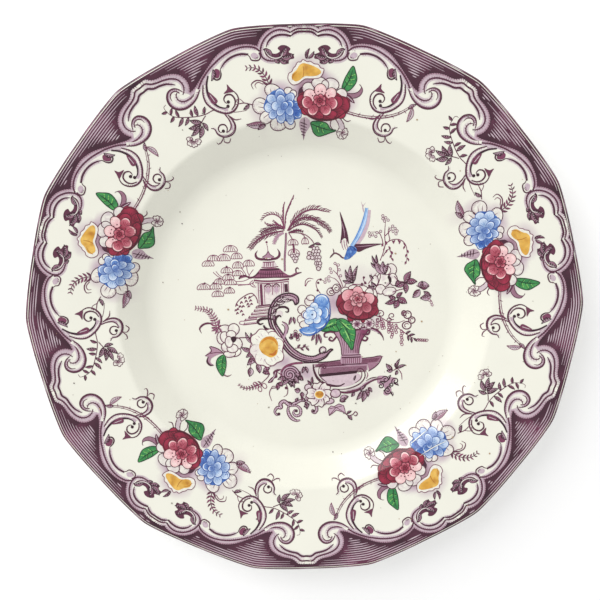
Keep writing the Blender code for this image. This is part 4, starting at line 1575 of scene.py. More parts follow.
def peony(pen):
    """The blue peony at the left of the rose, white at its heart and blue round its outside."""
    for x, y, rx, ry in (
        (-1.4, -1.4, 2.2, 2.2), (-2, -6.4, 1.9, 2.2), (-0.4, -9, 2.5, 1.9), (2.2, 2.6, 2.2, 2.2),
        (3, 4.4, 2, 1.4), (0.2, -4, 2, 2),
    ):
        edged_oval(pen, x, y, rx, ry, 0, 0.85, 0.42, wash_tone=0.18)
    pen.fill([
        (4.6, 2), (5.6, 5), (8.4, 6.2), (11, 5), (12.2, 2), (12, -3), (12, -6.4), (9.6, -10), (6, -13),
        (2, -14.8), (-1.2, -14.2), (-3.2, -11.6), (-1, -10.8), (2, -10.4), (0, -6), (1, -2), (3.6, -0.4),
    ], layer=5, colour=brushed(ROYAL, SKY, 3, 6, DEEP_BLUE), film="blue", cell=0.9)
    for number, (x, y, rx, ry, turn) in enumerate([
        (8.6, 2.8, 3.2, 3.2, 0), (10, -3.6, 2.1, 3.6, 0), (7.6, -9, 3.6, 2.2, 40),
        (1.6, -12.2, 4.2, 1.9, -8), (4.8, 0, 2.1, 1.9, 0), (6.6, -3, 2.2, 2.3, 0),
        (5.6, -6.6, 2.4, 2.1, 30), (2.2, -7.4, 2.2, 2, -10), (1.2, -4.4, 1.9, 2.2, 0),
        (2.6, -1.8, 2, 1.7, 0), (4, -4.2, 2.2, 2.1, 0),
    ]):
        pale, deep = (SKY, ROYAL) if number < OUTER_PETALS else (MIST, SKY)
        outward = math.degrees(math.atan2(y + 4, x - 3.6))
        if abs(math.sin(math.radians(outward - turn))) > 0.7:
            rx, ry, turn = ry, rx, turn + 90
        if math.cos(math.radians(outward - turn)) < 0:
            turn += 180
        painted_petal(pen, x, y, rx, ry, turn, pale, deep, DEEP_BLUE, "blue", number, PALE_MIST)
    pen.area(oval(3.6, -4.1, 0.45, gap=0.2)[:-1], layer=9, colour=NAVY, film="blue", cell=FLAT)
    pen.line(
        [(12, 4), (12.6, 0), (12.2, -6), (9.8, -10.2), (6, -13.2), (2, -14.8), (-1.4, -14.2)], 0.6,
        layer=6, start=0.3, end=0.3, colour=DEEP_BLUE, film="blue",
    )


def urn_leaves(pen):
    green_leaf(
        pen,
        [
            (7.8, -12.2), (9.4, -9.6), (12, -7.4), (15, -6.4), (18, -7.6), (19, -10), (16.4, -13),
            (12.6, -12.6), (10, -13),
        ],
        [(9, -11.8), (12.4, -10.6), (17, -9)],
        [
            ((10.4, -11.2), (11.4, -9)), ((12.4, -10.6), (13.4, -8.2)), ((14.4, -9.9), (15.4, -7.8)),
            ((11.4, -10.9), (12.6, -12.2)), ((13.4, -10.2), (14.8, -12)),
        ],
        2,
    )
    green_leaf(
        pen,
        [
            (16, -7), (19, -6.6), (22, -8.4), (24.6, -11), (25.2, -14), (24.6, -18), (23.2, -22.8),
            (21, -19.6), (18, -15.4), (16.6, -12), (15.4, -9),
        ],
        [(17, -7.6), (20, -11), (22, -16), (23.2, -22)],
        [
            ((19, -9.6), (22.6, -10)), ((20.4, -11.8), (24.2, -12.6)), ((21.4, -14.4), (24.6, -15.6)),
            ((19.6, -10.6), (17.4, -11.6)), ((20.8, -13), (18.4, -14.4)), ((21.8, -16.4), (19.8, -17)),
            ((22.2, -17.4), (24.2, -18.6)),
        ],
        5,
    )
    for near, far in (
        ((18, -8), (22.6, -12.4)), ((19.6, -12), (22.4, -18.4)), ((10.6, -10.2), (14.4, -8.6)),
    ):
        pen.line([near, far], 0.6, layer=8, start=0.2, end=0.2, colour=LEAF_LIGHT, film="green")


def urn(pen):
    """The stone urn, its scrolled handles, its fluted foot and the slab that it stands on."""
    bowl = np.vstack([
        curve([(13.4, -12.6), (16.2, -16.6), (17.6, -20.6), (18, -25.4)]),
        curve([(26.6, -25.4), (27, -21.4), (28.4, -17.6), (32, -12.6)]),
    ])
    middle = pen.place([(22.5, -18)])[0]

    def stone(points):
        across = (points[:, 0] - middle[0]) / 7
        return ink(0.36 + 0.34 * np.clip(across, 0, 1) + 0.16 * np.clip(-across - 0.4, 0, 1))

    pen.area(bowl, 0.5, 2, stone, cell=1.2)
    pen.path(bowl[: len(bowl) // 2], 0.5, 0.9, 3)
    pen.path(bowl[len(bowl) // 2:], 0.5, 0.95, 3)
    for number in range(9):
        shift = -3.6 + 0.9 * number
        pen.line(
            [(22.6 + 1.5 * shift, -14), (22.4 + 1.05 * shift, -20), (22.3 + 0.95 * shift, -25)], 0.28,
            0.85, 3,
        )
    for hook in (
        [(15, -13.6), (12, -13.2), (9.6, -14), (9.6, -15.6), (11.2, -15.8)],
        [(15.6, -15.6), (13.4, -17.8), (11.8, -17), (12.6, -15.8), (13.6, -16.6)],
        [(27.8, -17.4), (30.2, -18.2), (31.2, -16.8), (29.8, -16)],
        [(28.6, -15), (31.6, -14.8), (32.2, -12.8), (30.4, -12.4)],
    ):
        pen.line(hook, 0.95, 0.85, 3, end=0.4)
    pen.line(
        [(24, -12.8), (28, -12), (31, -11.6), (34, -12.4), (37, -14), (38.8, -16.4), (39.3, -18.4)], 1.5,
        0.85, 3, start=0.6, end=0.15,
    )
    pen.line([(28, -12.2), (31, -12), (34, -12.8), (37, -14.6)], 0.4, 0.3, 4)
    pen.fill([(18.2, -25.2), (27.4, -25.2), (27.6, -29.8), (17.8, -29.8)], 0.38, 3)
    for y, width in ((-25.3, 0.5), (-26.5, 0.7), (-30, 0.6)):
        pen.line([(17.9, y), (22.6, y - 0.1), (27.6, y)], width, 0.92, 4)
    for number in range(9):
        pen.line([(18.6 + 1.05 * number, -27), (18.6 + 1.05 * number, -29.6)], 0.4, 0.75, 4)


def slab(pen):
    pen.area(np.array([(3, -29.8), (18, -27.7), (39, -26.4), (37, -29.4), (31, -30.2), (7, -31.2)]), 0.5, 1)
    pen.area(np.array([(7, -31), (31, -30), (31, -33.4), (26, -33.4), (6.8, -34.9)]), 0.42, 1)
    pen.area(np.array([(31, -30), (37, -29.6), (34.6, -32), (31.6, -34)]), 0.5, 1)
    pen.line([(-2, -28.7), (10, -28.6), (18, -27.8)], 0.6, 0.95, 3)
    pen.line([(27.8, -27.3), (33, -26.9), (38, -26.5), (37, -29.6), (34.6, -32), (31.4, -34)], 0.5, 0.9, 3)
    pen.line([(7, -31), (18, -30.6), (31, -30)], 0.4, 0.9, 3)
    for number in range(12):
        y = -31.5 - 0.27 * number
        pen.line([(7.4, y - 0.2), (18, y), (30.4, y + 0.25)], 0.16, 0.8, 2)
    for number in range(9):
        y = -28.2 - 0.24 * number
        pen.line([(6 - 0.3 * number, y - 1.1), (20, y - 0.2), (37.4 - 0.2 * number, y + 1)], 0.16, 0.8, 2)
    pen.area(np.array([(6.2, -34.8), (25.8, -33.4), (25.4, -34.9), (6.6, -36.3)]), 1.0, 3)
    pen.fill([
        (7, -36.2), (16, -35.6), (25.4, -34.8), (27.4, -36.4), (26.4, -38.8), (22.4, -41), (16, -41.8),
        (11, -40.4),
    ], 0.2, 1)
    for path, width, tone in [
        (
            [(3.4, -29.6), (3.8, -33), (5.6, -37), (9, -39.8), (13, -41), (16.6, -41.2), (19.2, -40)],
            1.3, 0.95,
        ),
        ([(6.2, -32.4), (6.2, -34.8), (7.8, -37.2), (10.4, -39.2)], 0.5, 0.9),
        ([(6.2, -32.6), (6.8, -30.6), (8.6, -30), (9.8, -31), (9.2, -32), (8.2, -31.6)], 0.6, 0.9),
        ([
            (25.6, -34.2), (26, -32.8), (27.6, -32.4), (29.2, -34), (29.6, -36.6), (28, -39.4),
            (24.6, -41.6), (19, -43), (13, -42.6),
        ], 0.6, 0.9),
        ([(26, -34.4), (27.6, -34), (28, -35.6), (27.2, -38), (24.4, -40)], 0.5, 0.85),
        ([(30.6, -34.4), (31, -36), (30.2, -38)], 0.5, 0.6),
        ([(15, -44), (20, -44.8), (26, -43.4), (30, -40.6), (34, -38.6), (38.4, -38)], 1.5, 0.85),
        ([(30, -39), (33, -37.6), (36.6, -37.2)], 0.5, 0.9),
    ]:
        pen.line(path, width, tone, 4, start=0.5, end=0.4)
    pen.line([(20, -43.8), (26, -42.6), (30, -40), (34, -38)], 0.4, 0.3, 5)
    dots(pen, [(8.4, -31.2)], 0.5, 0.95)


def tassel(pen):
    """The dark knot of curls and leaves at the slab's right-hand end."""
    pen.fill([
        (36, -37), (39, -36.6), (42, -37.4), (45, -38), (44.6, -40), (42, -41), (43, -44), (42.4, -46),
        (40.4, -47), (38.8, -46), (39.6, -43.4), (38, -41.2), (36, -40.4),
    ], 0.4, 3)
    for x, y, r, turn in (
        (45, -39.6, 1.9, 90), (37.6, -41.8, 1.7, 0), (41, -44.4, 1.9, 200), (40, -38.6, 1.8, 30),
        (43, -41.6, 1.3, 140),
    ):
        pen.path(spiral(x, y, 0.3, r, turn, turn + 480), 0.55, 1.0, 4)
    for base, tip in (
        ((40, -40), (37.2, -39.2)), ((41.6, -39), (42.8, -36.4)), ((41.4, -42), (38.8, -44.6)),
        ((42.4, -45), (43.6, -47.4)), ((44, -40.6), (46.6, -42)),
    ):
        leaf(pen, base, tip, 1.1, 0.14, 0.95, 0.1)
    for base, tip, width in [
        ((28, -44), (25, -48.8), 2), ((29, -44), (28, -50), 2.6), ((30, -43.4), (31, -47.4), 2),
        ((31, -42.6), (33, -45), 1.6), ((24, -44.6), (22.4, -47), 1.5), ((27, -44), (30, -41.6), 1.4),
        ((43.6, -33.4), (40.4, -30.4), 2), ((43.8, -33.8), (40.6, -34), 1.8),
        ((45.4, -33.4), (47.4, -28), 1.4), ((46, -33), (50.4, -31.4), 1.4), ((46, -34), (45, -36.4), 1.4),
        ((45.6, -32.6), (45, -30.2), 1.1),
    ]:
        leaf(pen, base, tip, width, 0.08, 0.86, 0.4)
    pen.line([(44, -34), (46, -33.2), (48, -35.6), (48.4, -39)], 0.42, 0.7, 3, end=0.6)
    dots(pen, [(32, -42.8), (31.4, -45)], 0.5, 0.85)


def under_rose_sprays(pen):
    """Blossoms, catkins and a plaited tendril that hang to the right of the urn."""
    for stem in (
        [(34, -5), (38, -6.6), (42, -9), (47, -9.4), (50, -8.4)],
        [(45.6, -10), (46.6, -12), (49, -14), (53, -17), (57, -18.6), (61, -19)],
    ):
        pen.line(stem, 0.45, 0.72, 3, end=0.6)
    for x, y, r in ((38, -4.8, 1.9), (36.6, -7.6, 1.7), (43.6, -6, 2.0), (42.4, -8, 1.5)):
        pen.path(spiral(x, y, 0.4, r, 30 * x, 30 * x + 430), 0.45, 0.8, 4)
    for x, y, rx, ry in (
        (51.4, -5.6, 1.9, 1.9), (53.6, -8.4, 1.6, 1.6), (51, -11, 2.2, 1.9), (49.6, -4.8, 1.1, 1.3),
    ):
        pen.path(oval(x, y, rx, ry), 0.6, 0.85, 4)
        pen.path(oval(x, y, 0.5 * rx, 0.5 * ry, 0, 30, 250), 0.4, 0.7, 4)
    for x, top, low in (
        (38.4, -7.6, -12.6), (36.2, -8.4, -12.6), (42, -9.6, -15), (43.6, -10, -17.6), (45.6, -11, -15.4),
        (48.4, -14, -21.4), (39.4, -9.6, -13.4),
    ):
        for step in range(round((top - low) / 1.1)):
            y = top - 1.1 * step
            pen.path(oval(x + 0.3 * math.sin(2 * y), y, 0.62, 0.8), 0.36, 0.62, 3)
    for base, tip in (
        ((50.6, -15.4), (53, -14)), ((52, -16.4), (55.2, -15.8)), ((51.4, -16.4), (51.8, -19)),
        ((53, -17.4), (53.4, -20)), ((54.6, -17.8), (56, -19.4)),
    ):
        leaf(pen, base, tip, 1.0, 0.08, 0.8, 0.5)
    for number in range(5):
        pen.path(oval(56.6 + 1.1 * number, -18.6 - 0.1 * number, 0.85, 0.6, 30), 0.32, 0.7, 3)


# ---------------------------------------------------------------- the well: scrolls and garden flowers

def big_scroll(pen):
    """The dark C-shaped rococo scroll in front of the pagoda."""
    outer = curve([
        (-4.8, 1), (-3.2, 2.2), (-3.4, 5), (-6, 6.7), (-10, 6.8), (-14, 5), (-17, 1), (-18.4, -4),
        (-17.8, -9), (-15.5, -13), (-13, -17), (-11, -21), (-8, -24.5), (-4, -27), (1, -28.3), (6, -28),
        (10, -26), (12, -23.5), (13.7, -22.2),
    ])
    inner = curve([
        (-4.8, 1), (-6, 3.4), (-9, 3.6), (-12, 2.6), (-14, 0), (-15, -4), (-14.6, -8), (-13, -11),
        (-10.5, -15), (-8.5, -18.6), (-5, -22.2), (-1, -24.6), (4, -25.4), (7.4, -24), (10, -23.6),
        (12.4, -22), (13.7, -22.2),
    ])

    count = 60
    rows = [path[np.linspace(0, len(path) - 1, count).round().astype(int)] for path in (outer, inner)]

    def between(share, first=0, last=count):
        return curve((rows[0] * (1 - share) + rows[1] * share)[first:last:3])

    pen.area(np.vstack([outer, inner[-2:0:-1]]), 0.42, 3, cell=FLAT)
    pen.path(between(0.3), 0.75, 1.0, 4, 0.4, 0.4)
    pen.path(between(0.62, 6, 50), 0.6, 0.95, 4, 0.3, 0.3)
    pen.path(between(0.46, 3, 44), 0.4, 0.1, 4, 0.3, 0.3)
    hatch(pen, between(0.3), 1.1, 0.9, -1, 0.5, 0.95, 4, 0.8)
    hatch(pen, inner, 1.2, 1.1, -1, 0.5, 0.95, 4, 0.8)
    pen.path(outer, 0.75, 1.0, 4)
    pen.path(inner, 0.65, 1.0, 4)
    for base, tip, width in [
        ((-6.4, 3.6), (-12.6, 5.8), 1.9), ((-9.6, 3), (-15.4, 3.4), 1.9), ((-12.4, 1.6), (-17.2, 0.2), 1.7),
        ((-14.2, -1.8), (-18, -3.6), 1.5),
    ]:
        leaf(pen, base, tip, width, 0.14, 0.95, 0.1, layer=5, edge=0.3)
    pen.line([(-6, 4.2), (-9.6, 4.4), (-12.6, 2.8)], 0.7, 0.15, 5, start=0.3, end=0.2)
    pen.path(spiral(8.8, -22.4, 0.5, 2.3, 240, 600), 0.8, 0.95, 5)
    pen.path(spiral(8.8, -22.4, 0.4, 1.5, 240, 560), 0.4, 0.2, 6)
    for hook, width in [
        ([(-15.2, -3), (-14, -0.6), (-12, 0.2), (-9.6, 0), (-8.3, -1), (-8.6, -2.5), (-9.8, -2.2)], 1.1),
        ([(-16, -6), (-19, -5.4), (-22.6, -5.8), (-23.8, -7), (-22.8, -8.2), (-21, -7.8)], 1.3),
        ([(-21, -8.8), (-20, -10.4), (-18, -11.2), (-15.6, -11)], 1.3),
        ([(-14.6, -9), (-15, -6.6), (-14, -4.6), (-12.6, -4.2), (-12, -5)], 1.2),
    ]:
        pen.line(hook, width, 0.98, 4, start=0.6, end=0.4)
    pen.fill(
        [(-14.8, -2.4), (-12.6, -1.6), (-11.2, -2.6), (-11.6, -4.2), (-13, -3.6), (-14.6, -4.2)], 0.12, 3,
    )
    pen.line(
        [(-11.6, -7.2), (-9.8, -8.6), (-9.2, -10.6), (-10.2, -13), (-11.2, -16)], 1.7, 0.38, 4, start=0.3,
        end=0.5,
    )
    pen.line([(-11.6, -7.2), (-9.4, -8.4), (-8.6, -10.6), (-9.4, -13.4)], 0.4, 0.9, 5)
    pen.line([(-11.8, -8.6), (-10.6, -9.6), (-10.4, -12), (-11.4, -14.6)], 0.4, 0.9, 5)
    inner_buds(pen)


def inner_buds(pen):
    """Small buds and a leafy twig inside the scroll's bow."""
    for x, y, turn in ((-6.2, -14.4, 200), (-5, -12.6, 120), (-3, -14.4, 30), (-4, -16.4, 280)):
        leaf(pen, (-4.8, -14.6), (x, y), 1.5, 0.1, 0.75, 0.3)
        pen.path(oval(x, y, 0.9, 0.8, turn), 0.36, 0.75, 5)
    for x, y in ((-7.4, -13.4), (-8.4, -15.2)):
        leaf(pen, (-6.4, -16), (x, y), 1.0, 0.1, 0.8, 0.5)
    pen.line([(-5.4, -21), (-2, -20.8), (1.6, -20)], 0.4, 0.7, 3, end=0.4)
    for x, side in ((-4.2, 1), (-2.8, -1), (-1.4, 1), (0, -1)):
        leaf(pen, (x, -20.8), (x + 1.4, -20.8 + 1.6 * side), 0.9, 0.08, 0.7, 0.4)
    for base, tip in (
        ((5.6, -14), (5, -19.6)), ((6.4, -14), (7.6, -19)), ((4.4, -14), (2.8, -17.4)),
        ((-7, -5), (-8.4, -9)), ((-6, -5), (-5.4, -8.6)),
    ):
        leaf(pen, base, tip, 1.2, 0.06, 0.7, 0.35)


def white_flower(pen):
    """The large white flower with an ochre heart, at the scroll's left."""
    for turn, reach, wash_tone in ((95, 9.4, 0), (45, 8.4, 0), (-8, 7.8, 0), (168, 9.2, 0.03), (130, 10, 0),
                                   (-150, 9.6, 0.06), (-108, 10.4, 0.02), (-62, 9.8, 0)):
        outline = petal_outline(-19, -20, reach, 9.6, turn, 0.06)
        pen.area(outline, wash_tone, 4, cell=1.6)
        pen.path(outline[len(outline) // 5: -len(outline) // 5], 0.5, 0.75, 4, 0.3, 0.3)
        for way in (-14, 0, 14):
            a = math.radians(turn + way)
            near = (-19 + 0.62 * reach * math.cos(a), -20 + 0.62 * reach * math.sin(a))
            far = (-19 + 0.8 * reach * math.cos(a), -20 + 0.8 * reach * math.sin(a))
            pen.line([near, far], 0.3, 0.35, 4, end=0.2)
    heart = loop([
        (-14, -20.4), (-14.2, -17.4), (-16.2, -14.9), (-19.4, -14.6), (-22.4, -16.4), (-23.6, -19.6),
        (-22.4, -22.6), (-20, -24.4), (-17.6, -25.4), (-15, -24),
    ])
    pen.area(heart, layer=5, colour=brushed(OCHRE, PALE_OCHRE, 3, 2, BURNT_OCHRE), film="ochre", cell=0.8)
    pen.line([(-22.4, -17.6), (-19.4, -15.4), (-16, -16.4), (-14.4, -19)], 1.2, layer=6, start=0.3, end=0.3,
             colour=linear(204, 130, 36), film="ochre")
    pen.line([(-18.6, -23.6), (-16.4, -23.8), (-14.8, -21.6)], 1.4, layer=6, start=0.3, end=0.3,
             colour=linear(190, 108, 34), film="ochre")


def camellia(pen):
    """The outlined flower at the far left, with its fern, curl and leaves."""
    for x, y, rx, ry, turn in [
        (-40.6, -10.8, 3.4, 2.7, 10), (-36, -10.4, 2.8, 2.9, 0), (-42.4, -14.6, 2.2, 3.2, 0),
        (-35.6, -22.2, 2.9, 2.1, 20), (-34.4, -17.6, 2.3, 3, 20), (-38.6, -23, 3, 1.7, 0),
        (-40.2, -19.4, 2.4, 2.4, 0), (-37, -20.2, 2.8, 2.2, 0), (-40.4, -14.4, 2.4, 3, 20),
        (-37.4, -13, 2.4, 2, 0), (-38.6, -16.8, 2, 2.8, 0),
    ]:
        edged_oval(pen, x, y, rx, ry, turn, 0.85, 0.46, wash_tone=0.25)
    pen.fill(
        [(-37.6, -14.6), (-36, -14), (-34.8, -15), (-35.4, -16.6), (-36.6, -17.2), (-37.4, -16)], 1.0, 5,
    )
    pen.line([(-35, -15), (-31, -14.8), (-27, -15.4), (-24, -17.6)], 0.5, 0.85, 3)
    pen.line(
        [(-45, -8.6), (-48, -7), (-51, -7.5), (-53, -9.6), (-52.2, -12)], 1.0, 0.85, 3, start=0.2,
        end=0.2,
    )
    sprig(
        pen, [(-44.4, -10), (-45.4, -5.6), (-46.8, -2.4), (-49.4, 0), (-52, 0.4), (-54.8, 1)], 2.9, 1.35,
        0.42, 0.72, 0.32, 62,
    )
    for base, tip in (
        ((-44, -9.4), (-47.4, -11)), ((-44, -9.8), (-45.6, -12.6)), ((-43.4, -9.4), (-42.2, -12)),
        ((-43.6, -9), (-42.6, -5)), ((-44.6, -9), (-47.2, -9.6)),
    ):
        leaf(pen, base, tip, 1.1, 0.08, 0.8, 0.55, edge=0)
    pen.fill([
        (-41.6, -22.4), (-43.6, -20.4), (-46, -19.4), (-48.4, -19), (-48, -20.8), (-50.9, -23.6),
        (-49.4, -24.2), (-50, -26.6), (-48.6, -28.4), (-46.8, -28.5), (-48.4, -27), (-48, -25.2),
        (-46, -23.8), (-43.4, -22.8),
    ], 0.42, 3)
    pen.line([(-41.6, -22.4), (-44.6, -20), (-48.4, -19), (-47.6, -21.2), (-50.9, -23.6)], 0.45, 0.9, 4)
    pen.line([(-41.6, -22.4), (-45, -22), (-48.4, -22.4)], 0.4, 0.85, 4)
    pen.line([(-49.4, -24), (-50, -26.6), (-48.6, -28.4), (-46.8, -28.5)], 1.0, 0.95, 4, start=0.4, end=0.4)
    green_leaf(
        pen,
        [
            (-41.4, -23.4), (-40.5, -26.4), (-40.8, -30), (-42.6, -34.2), (-44.6, -31.6), (-45.6, -28.4),
            (-44.6, -25),
        ],
        [(-41.6, -24), (-42.6, -28), (-42.8, -33)],
        [
            ((-42, -25.6), (-44.6, -26.4)), ((-42.4, -27.6), (-45, -28.6)),
            ((-42.8, -29.6), (-44.4, -31)), ((-42.4, -27), (-40.9, -28)), ((-42.7, -29.4), (-41.2, -31)),
        ],
        4,
    )
    pen.line([(-41.6, -31), (-41.8, -33.6), (-40, -34.4), (-38, -33.6)], 0.6, 0.8, 3, start=0.4, end=0.2)


def vines(pen):
    """The vine leaves, tendrils and fern below the white flower."""
    for base, tip, width, lit in [
        ((-27.4, -21.6), (-32.6, -19.8), 2.2, 0.45), ((-27.4, -22), (-30.4, -25), 1.9, 0.5),
        ((-27, -18), (-30.2, -12), 1.6, 0.3), ((-26.6, -16), (-27.4, -12.4), 1.4, 0.3),
        ((-26, -24), (-30, -29), 3, 0.3), ((-25, -28.4), (-23.8, -33.4), 2.6, 0.3),
        ((-28.4, -30.2), (-29, -35), 2.9, 0.2), ((-23, -28), (-27, -26.4), 1.6, 0.4),
        ((-22, -32.4), (-18.6, -31), 2.2, 0.4), ((-22.4, -33), (-18.6, -34), 1.8, 0.5),
        ((-22, -28.6), (-19.4, -30.4), 1.5, 0.5), ((-14.4, -38.4), (-12.6, -40.6), 2, 0.5),
        ((-14.8, -38.6), (-15.2, -42.4), 2, 0.5), ((-3.4, -43), (-6.4, -42.4), 2.6, 0.4),
        ((-2.6, -43.8), (-3, -46.6), 2, 0.5), ((-1.4, -30.6), (-2.4, -34), 1.4, 0.4),
        ((-0.6, -30.6), (0.4, -34), 1.4, 0.4), ((2.4, -40), (0.4, -37.8), 1.2, 0.5),
        ((3, -39.6), (2.8, -36), 1.2, 0.5), ((24, -38.6), (25, -36), 0.8, 0.3),
    ]:
        leaf(pen, base, tip, width, 0.07, 0.82, lit)
    for stem, width in [
        ([(-26, -24), (-28, -28), (-28.4, -30.2)], 0.45),
        ([(-24, -26), (-21, -30), (-19, -34), (-22, -37.6), (-25, -39.8)], 0.45),
        ([(-13.4, -38), (-15.4, -41), (-18.2, -41.6), (-19.2, -44), (-18.2, -48)], 0.45),
        ([(-10.6, -39.4), (-9.8, -42), (-10.4, -45), (-12, -46)], 0.42),
        ([(-13.4, -39), (-12, -36), (-13.4, -34), (-15.6, -33)], 0.5),
        ([(-15.4, -40.6), (-17.6, -40.4), (-18.4, -42)], 0.35),
    ]:
        pen.line(stem, width, 0.78, 3, end=0.5)
    sprig(
        pen, [(-23, -38.4), (-26, -40), (-30, -41), (-33, -40.4), (-34.8, -38.6)], 2.1, 1.5, 0.45, 0.8,
        0.4, 60,
    )
    for x, y, rx, ry, turn in (
        (-24, -41.6, 0.9, 1.4, 20), (-21.6, -40, 1.0, 1.5, 30), (-26.4, -38.8, 0.9, 0.9, 0),
    ):
        pen.path(oval(x, y, rx, ry, turn), 0.36, 0.65, 3)
    dots(pen, [(-10.6, -41.4)], 0.75, 0.9)


def low_scrolls(pen):
    """The volutes and leafy scrolls below the big scroll."""
    pen.area(oval(-8.7, -34.4, 4.9, 4.9)[:-1], 0.42, 2)
    pen.path(spiral(-8.7, -34.6, 0.4, 4.9, 250, -420), 1.7, 0.95, 4)
    pen.path(spiral(-8.7, -34.6, 0.5, 4.8, 250, -410), 0.6, 0.3, 4)
    for turn in (20, -15, -55, -95, -130):
        a = math.radians(turn)
        base = (-8.7 + 2.8 * math.cos(a), -34.6 + 2.8 * math.sin(a))
        tip = (-8.7 + 6.6 * math.cos(a - 0.5), -34.6 + 6.6 * math.sin(a - 0.5))
        leaf(pen, base, tip, 2.2, -0.16, 0.95, 0.4, layer=4)
    pen.line([(-13, -33), (-11, -30.6), (-7, -29), (-2, -28.6)], 1.1, 0.7, 3, start=0.4)
    pen.line([(-4, -36.6), (-3.4, -35), (-3.6, -33)], 1.0, 0.95, 4, start=0.4)
    leaf(pen, (-4.6, -36), (-1.8, -37.8), 2.2, 0.1, 0.98, 0.8)
    leaf(pen, (-10, -38.6), (-6.4, -41.6), 2.4, 0.25, 0.95, 0.4)
    pen.fill([
        (-19.8, -38.4), (-17.6, -38.2), (-16.6, -36.4), (-15, -35.8), (-14.8, -33), (-12.6, -31.8),
        (-15, -31.6), (-17, -33), (-16.8, -35), (-18.4, -36.2),
    ], 0.85, 4)
    pen.line([(-19, -38), (-16.8, -35.8), (-15.6, -33)], 0.35, 0.2, 5)
    for path, width in [
        ([
            (0, -49), (-3, -48.2), (-6, -49.4), (-9, -50.4), (-12, -48.4), (-13.8, -49.6), (-13.6, -51.6),
            (-15.4, -51.6), (-16.8, -53.6), (-15.8, -55.4), (-14.2, -54.8),
        ], 1.2),
        ([(-9.6, -50.6), (-10, -53.6), (-8.6, -57), (-5.8, -58.8), (-4, -58.6)], 1.1),
        ([
            (-8.4, -51), (-5.4, -51), (-3.6, -53), (-4, -55.6), (-6, -56.2), (-7.4, -54.8), (-6.4, -53.2),
            (-5.4, -53.8),
        ], 0.9),
        ([(-1, -46), (0.4, -48), (3, -49.6), (6, -50.6)], 0.9),
        ([(2, -49.6), (4, -51), (4.6, -53.4), (3.4, -54.8), (2.2, -54), (2.8, -53)], 1.0),
    ]:
        pen.line(path, 1.75 * width, 0.88, 4, start=0.5, end=0.4)
        pen.line(path, 0.85 * width, 0.24, 4, start=0.3, end=0.2)
        hatch(pen, curve(path), 1.1, 0.8, 1, 0.45, 0.85, 4)
    dots(pen, [(-14.8, -55), (-5.8, -53.6), (3, -54)], 0.8, 0.95)
    for base, tip, width in [
        ((-1, -48.4), (-3.2, -46.4), 1.6), ((-1, -49), (-0.4, -53), 2), ((-6, -49), (-4.6, -46.8), 1.4),
        ((1, -50), (-2, -51.6), 1.6), ((-7.6, -50), (-9.8, -48.6), 1.2),
    ]:
        leaf(pen, base, tip, width, 0.08, 0.85, 0.5)


def low_flower(pen):
    """The small white flower with an ochre eye below the slab, and the ivy beside it."""
    for turn, reach, width in (
        (100, 6.6, 5.4), (50, 7, 5), (0, 6.2, 5), (-50, 6, 5), (-95, 6.8, 5.2), (-140, 7, 5),
        (170, 7, 5.4),
    ):
        white_petal(pen, 6.3, -45.4, reach, width, turn, 0.5, 0.88, 0.15, 4)
    for x, y, rx, ry in ((14.4, -45, 2.6, 2.2), (11, -49, 2.6, 1.5), (0.6, -41.6, 1.8, 1.8)):
        edged_oval(pen, x, y, rx, ry, 0, 0.9, 0.5, inner=0.16, layer=3)
    pen.area(oval(6.3, -45.3, 2.9, 2.7)[:-1], 0, 6)
    pen.path(oval(6.3, -45.3, 2.9, 2.7), 0.26, 0.4, 7)
    pen.area(
        oval(6.3, -45.3, 2.1, 1.8)[:-1], layer=7, colour=brushed(OCHRE, BURNT_OCHRE, 1.6, 4),
        film="ochre", cell=0.7,
    )
    pen.path(oval(6.3, -45.3, 2.1, 1.8, 0, 120, 300), 0.5, layer=8, colour=PALE_OCHRE, film="ochre")
    ivy = [
        (11, -56.6), (10.6, -53), (12, -51.6), (13.6, -52), (16, -50.6), (18.4, -51.6), (19.4, -55.8),
        (16.4, -54.4), (14.6, -53.8), (13, -55.2),
    ]
    pen.area(np.array(ivy), 0.28, 3)
    pen.path(closed(ivy), 0.42, 0.85, 4)
    for tip in ((11.4, -56), (11.2, -53), (18.8, -55.2), (17.6, -51.8)):
        pen.line([(14.6, -52.4), tip], 0.34, 0.85, 4)
    for base, tip, width, lit in [
        ((16.6, -48.8), (21, -46.8), 3, 0.3), ((16.4, -49), (19.4, -49.4), 1.8, 0.4),
        ((20, -56), (22.4, -54.6), 1.2, 0.5), ((20.4, -57), (22.6, -59.4), 1.6, 0.5),
    ]:
        leaf(pen, base, tip, width, 0.08, 0.88, lit)
    pen.line(
        [(19, -55.6), (21, -57), (23, -56.4), (24.4, -55), (25.4, -56), (24.6, -57.2), (23.8, -56.8)],
        0.5, 0.8, 3,
    )


def well_picture(films):
    pen = Pen(films)
    for x, y, rx, ry, tone in [
        (15, 2, 6, 9, 0.36), (26, -8, 14, 5, 0.3), (-12, -28, 10, 6, 0.26), (40, 12, 9, 10, 0.12),
        (-17, 8, 10, 8, 0.1), (4, -46, 12, 8, 0.16), (-38, -16, 9, 10, 0.1), (0, -34, 8, 6, 0.3),
        (28, -44, 12, 6, 0.14), (24, 14, 14, 8, 0.1),
    ]:
        wash(pen, x, y, rx, ry, tone)
    for level, draws in enumerate((
        (palm, cloud_tree, pagoda, roofs, hanging_sprig, top_sprays, tall_spray, under_rose_sprays),
        (right_blossoms, camellia, vines, low_scrolls, slab, tassel, bird),
        (urn, low_flower, big_scroll),
        (white_flower, rose, peony, urn_leaves),
    )):
        for draw in draws:
            begin(level)
            draw(pen)


# ---------------------------------------------------------------- age and wear

SPECKS = 120
SPECK_REACH = 128             # mm
SPECK_COLOURS = (linear(150, 150, 134), linear(170, 150, 112), linear(116, 112, 106))


